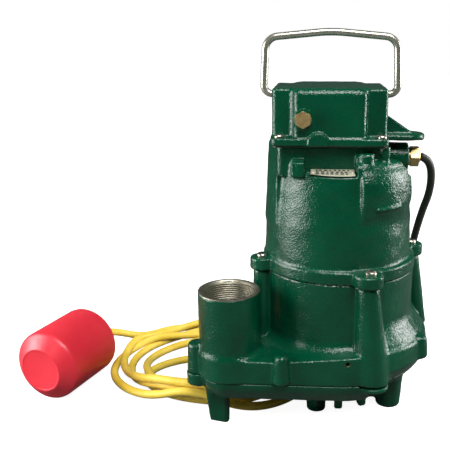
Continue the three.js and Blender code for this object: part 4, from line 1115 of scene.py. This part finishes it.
def make_cords():
    line = smooth_line(POWER_ROUTE + power_coil() + POWER_END)
    first = steps_along(POWER_ROUTE) - 6
    last = len(line) - steps_along(POWER_END) + 8
    line = lay(line, POWER_CORD + 0.15, first, last)
    power = add("power_flex", round_bar("power_flex", line, POWER_CORD, 7), "rubber",
                replaces=["power_cord", "power_cord_coil", "power_cord_end"])
    line = smooth_line(FLOAT_LEAD + switch_coil() + SWITCH_END)
    first = 30
    last = len(line) - steps_along(SWITCH_END) + 10
    line = lay(line, SWITCH_CORD + 0.15, first, last)
    switch = add("switch_flex", round_bar("switch_flex", line, SWITCH_CORD, 7), "yellow",
                 replaces=["switch_cord_lead", "switch_cord_coil", "switch_cord_end"])
    plug = add("mains_plug", power_plug(), "black", replaces=["power_plug"])
    socket = add("piggyback_socket", piggyback(), "yellow", replaces=["piggyback_plug"])
    body, sleeve = make_float()


# ---------------------------------------------------------------- carried-over nodes
def dress_frame():
    looks = {
        "rubber": ("cap_gasket", "housing_o_ring", "cord_strain_relief", "seal_bellows"),
        "lamination": ("stator_core", "rotor_core", "seal_seat"),
        "copper": ("stator_winding_top", "stator_winding_bottom"),
        "stainless": ("motor_shaft", "upper_bearing", "lower_bearing", "run_capacitor", "float_switch_ball"),
        "iron": ("seal_face", "impeller"),
        "black": ("thermal_overload", "terminal_block", "float_switch_capsule"),
        "screw": tuple(f"base_screw_{i}" for i in (1, 2, 3, 4)),
        "brass": tuple(f"{plug}_blade_{i}" for plug in ("power_plug", "piggyback") for i in (1, 2, 3)),
    }
    for look, names in looks.items():
        for name in names:
            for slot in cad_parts[name].material_slots:
                slot.material = LOOKS[look][0]


# ---------------------------------------------------------------- studio
LAMPS = (  # name, place, power, width and height
    ("left_box", (-1.35, -0.3, 0.42), 25, (0.9, 0.9)),
    ("right_box", (1.3, 0.3, 0.5), 18, (0.45, 0.9)),
    ("front_fill", (0.3, -1.0, 1.8), 46, (1.5, 1.0)),
)


def make_floor():
    """A pale floor that the camera sees as white paper and that throws little light back."""
    floor = bpy.data.meshes.new("studio_floor")
    a, b = -6.0, 6.0
    floor.from_pydata([(a, a, 0), (b, a, 0), (b, b, 0), (a, b, 0)], [], [(0, 1, 2, 3)])
    pale = Shader("pale floor", Roughness=0.8, Specular_IOR_Level=0.1, Emission_Color=(1.0, 1.0, 1.0, 1.0))
    seen = pale.node("ShaderNodeLightPath").outputs["Is Camera Ray"]
    paper = pale.ramp(pale.noise(3, 2), (214, 214, 213), (220, 220, 219))
    pale.set("Base Color", pale.mix(seen, (96, 98, 96), paper))
    glow = pale.ramp(pale.near(at(-60, 60, 0), 2.4), 1.0, 0.93, 0.0, 1.0)
    pale.set("Emission Strength", pale.math("MULTIPLY", glow, seen))
    floor.materials.append(pale.material)
    placed("studio_floor", floor)


def make_studio():
    scene = bpy.context.scene
    scene.view_settings.view_transform = "Standard"
    make_floor()
    scene.world = bpy.data.worlds.new("studio")
    sky = Nodes(scene.world)
    sky.nodes.clear()
    direction = sky.node("ShaderNodeTexCoord").outputs["Generated"]
    depth = sky.node("ShaderNodeSeparateXYZ", Vector=direction).outputs["Y"]
    strength = sky.node("ShaderNodeMapRange", Value=depth,  # dim in front of the pump, bright behind it
                        From_Min=-0.2, From_Max=0.9, To_Min=0.03, To_Max=0.075)
    lit = sky.node("ShaderNodeBackground", Color=(0.96, 0.98, 1.0, 1), Strength=strength.outputs["Result"])
    white = sky.node("ShaderNodeBackground", Color=(1, 1, 1, 1), Strength=1.0)
    seen = sky.node("ShaderNodeLightPath").outputs["Is Camera Ray"]
    mix = sky.node("ShaderNodeMixShader", Fac=seen)
    sky.feed(mix.inputs[1], lit.outputs[0])
    sky.feed(mix.inputs[2], white.outputs[0])
    sky.node("ShaderNodeOutputWorld", Surface=mix.outputs[0])
    for name, place, power, (width, height) in LAMPS:
        data = bpy.data.lights.new(name, "AREA")
        data.shape = "RECTANGLE"
        data.size, data.size_y = width, height
        data.energy = power
        lamp = placed(name, data)
        lamp.location = place
        aim = Vector((AXIS[0] - 0.05, 0.0, 0.16)) - Vector(place)
        lamp.rotation_euler = aim.to_track_quat("-Z", "Y").to_euler()


make_cords()
make_castings()
thread_liner()
make_screws()
make_brass()
make_handle()
make_nameplate()
dress_frame()
make_studio()
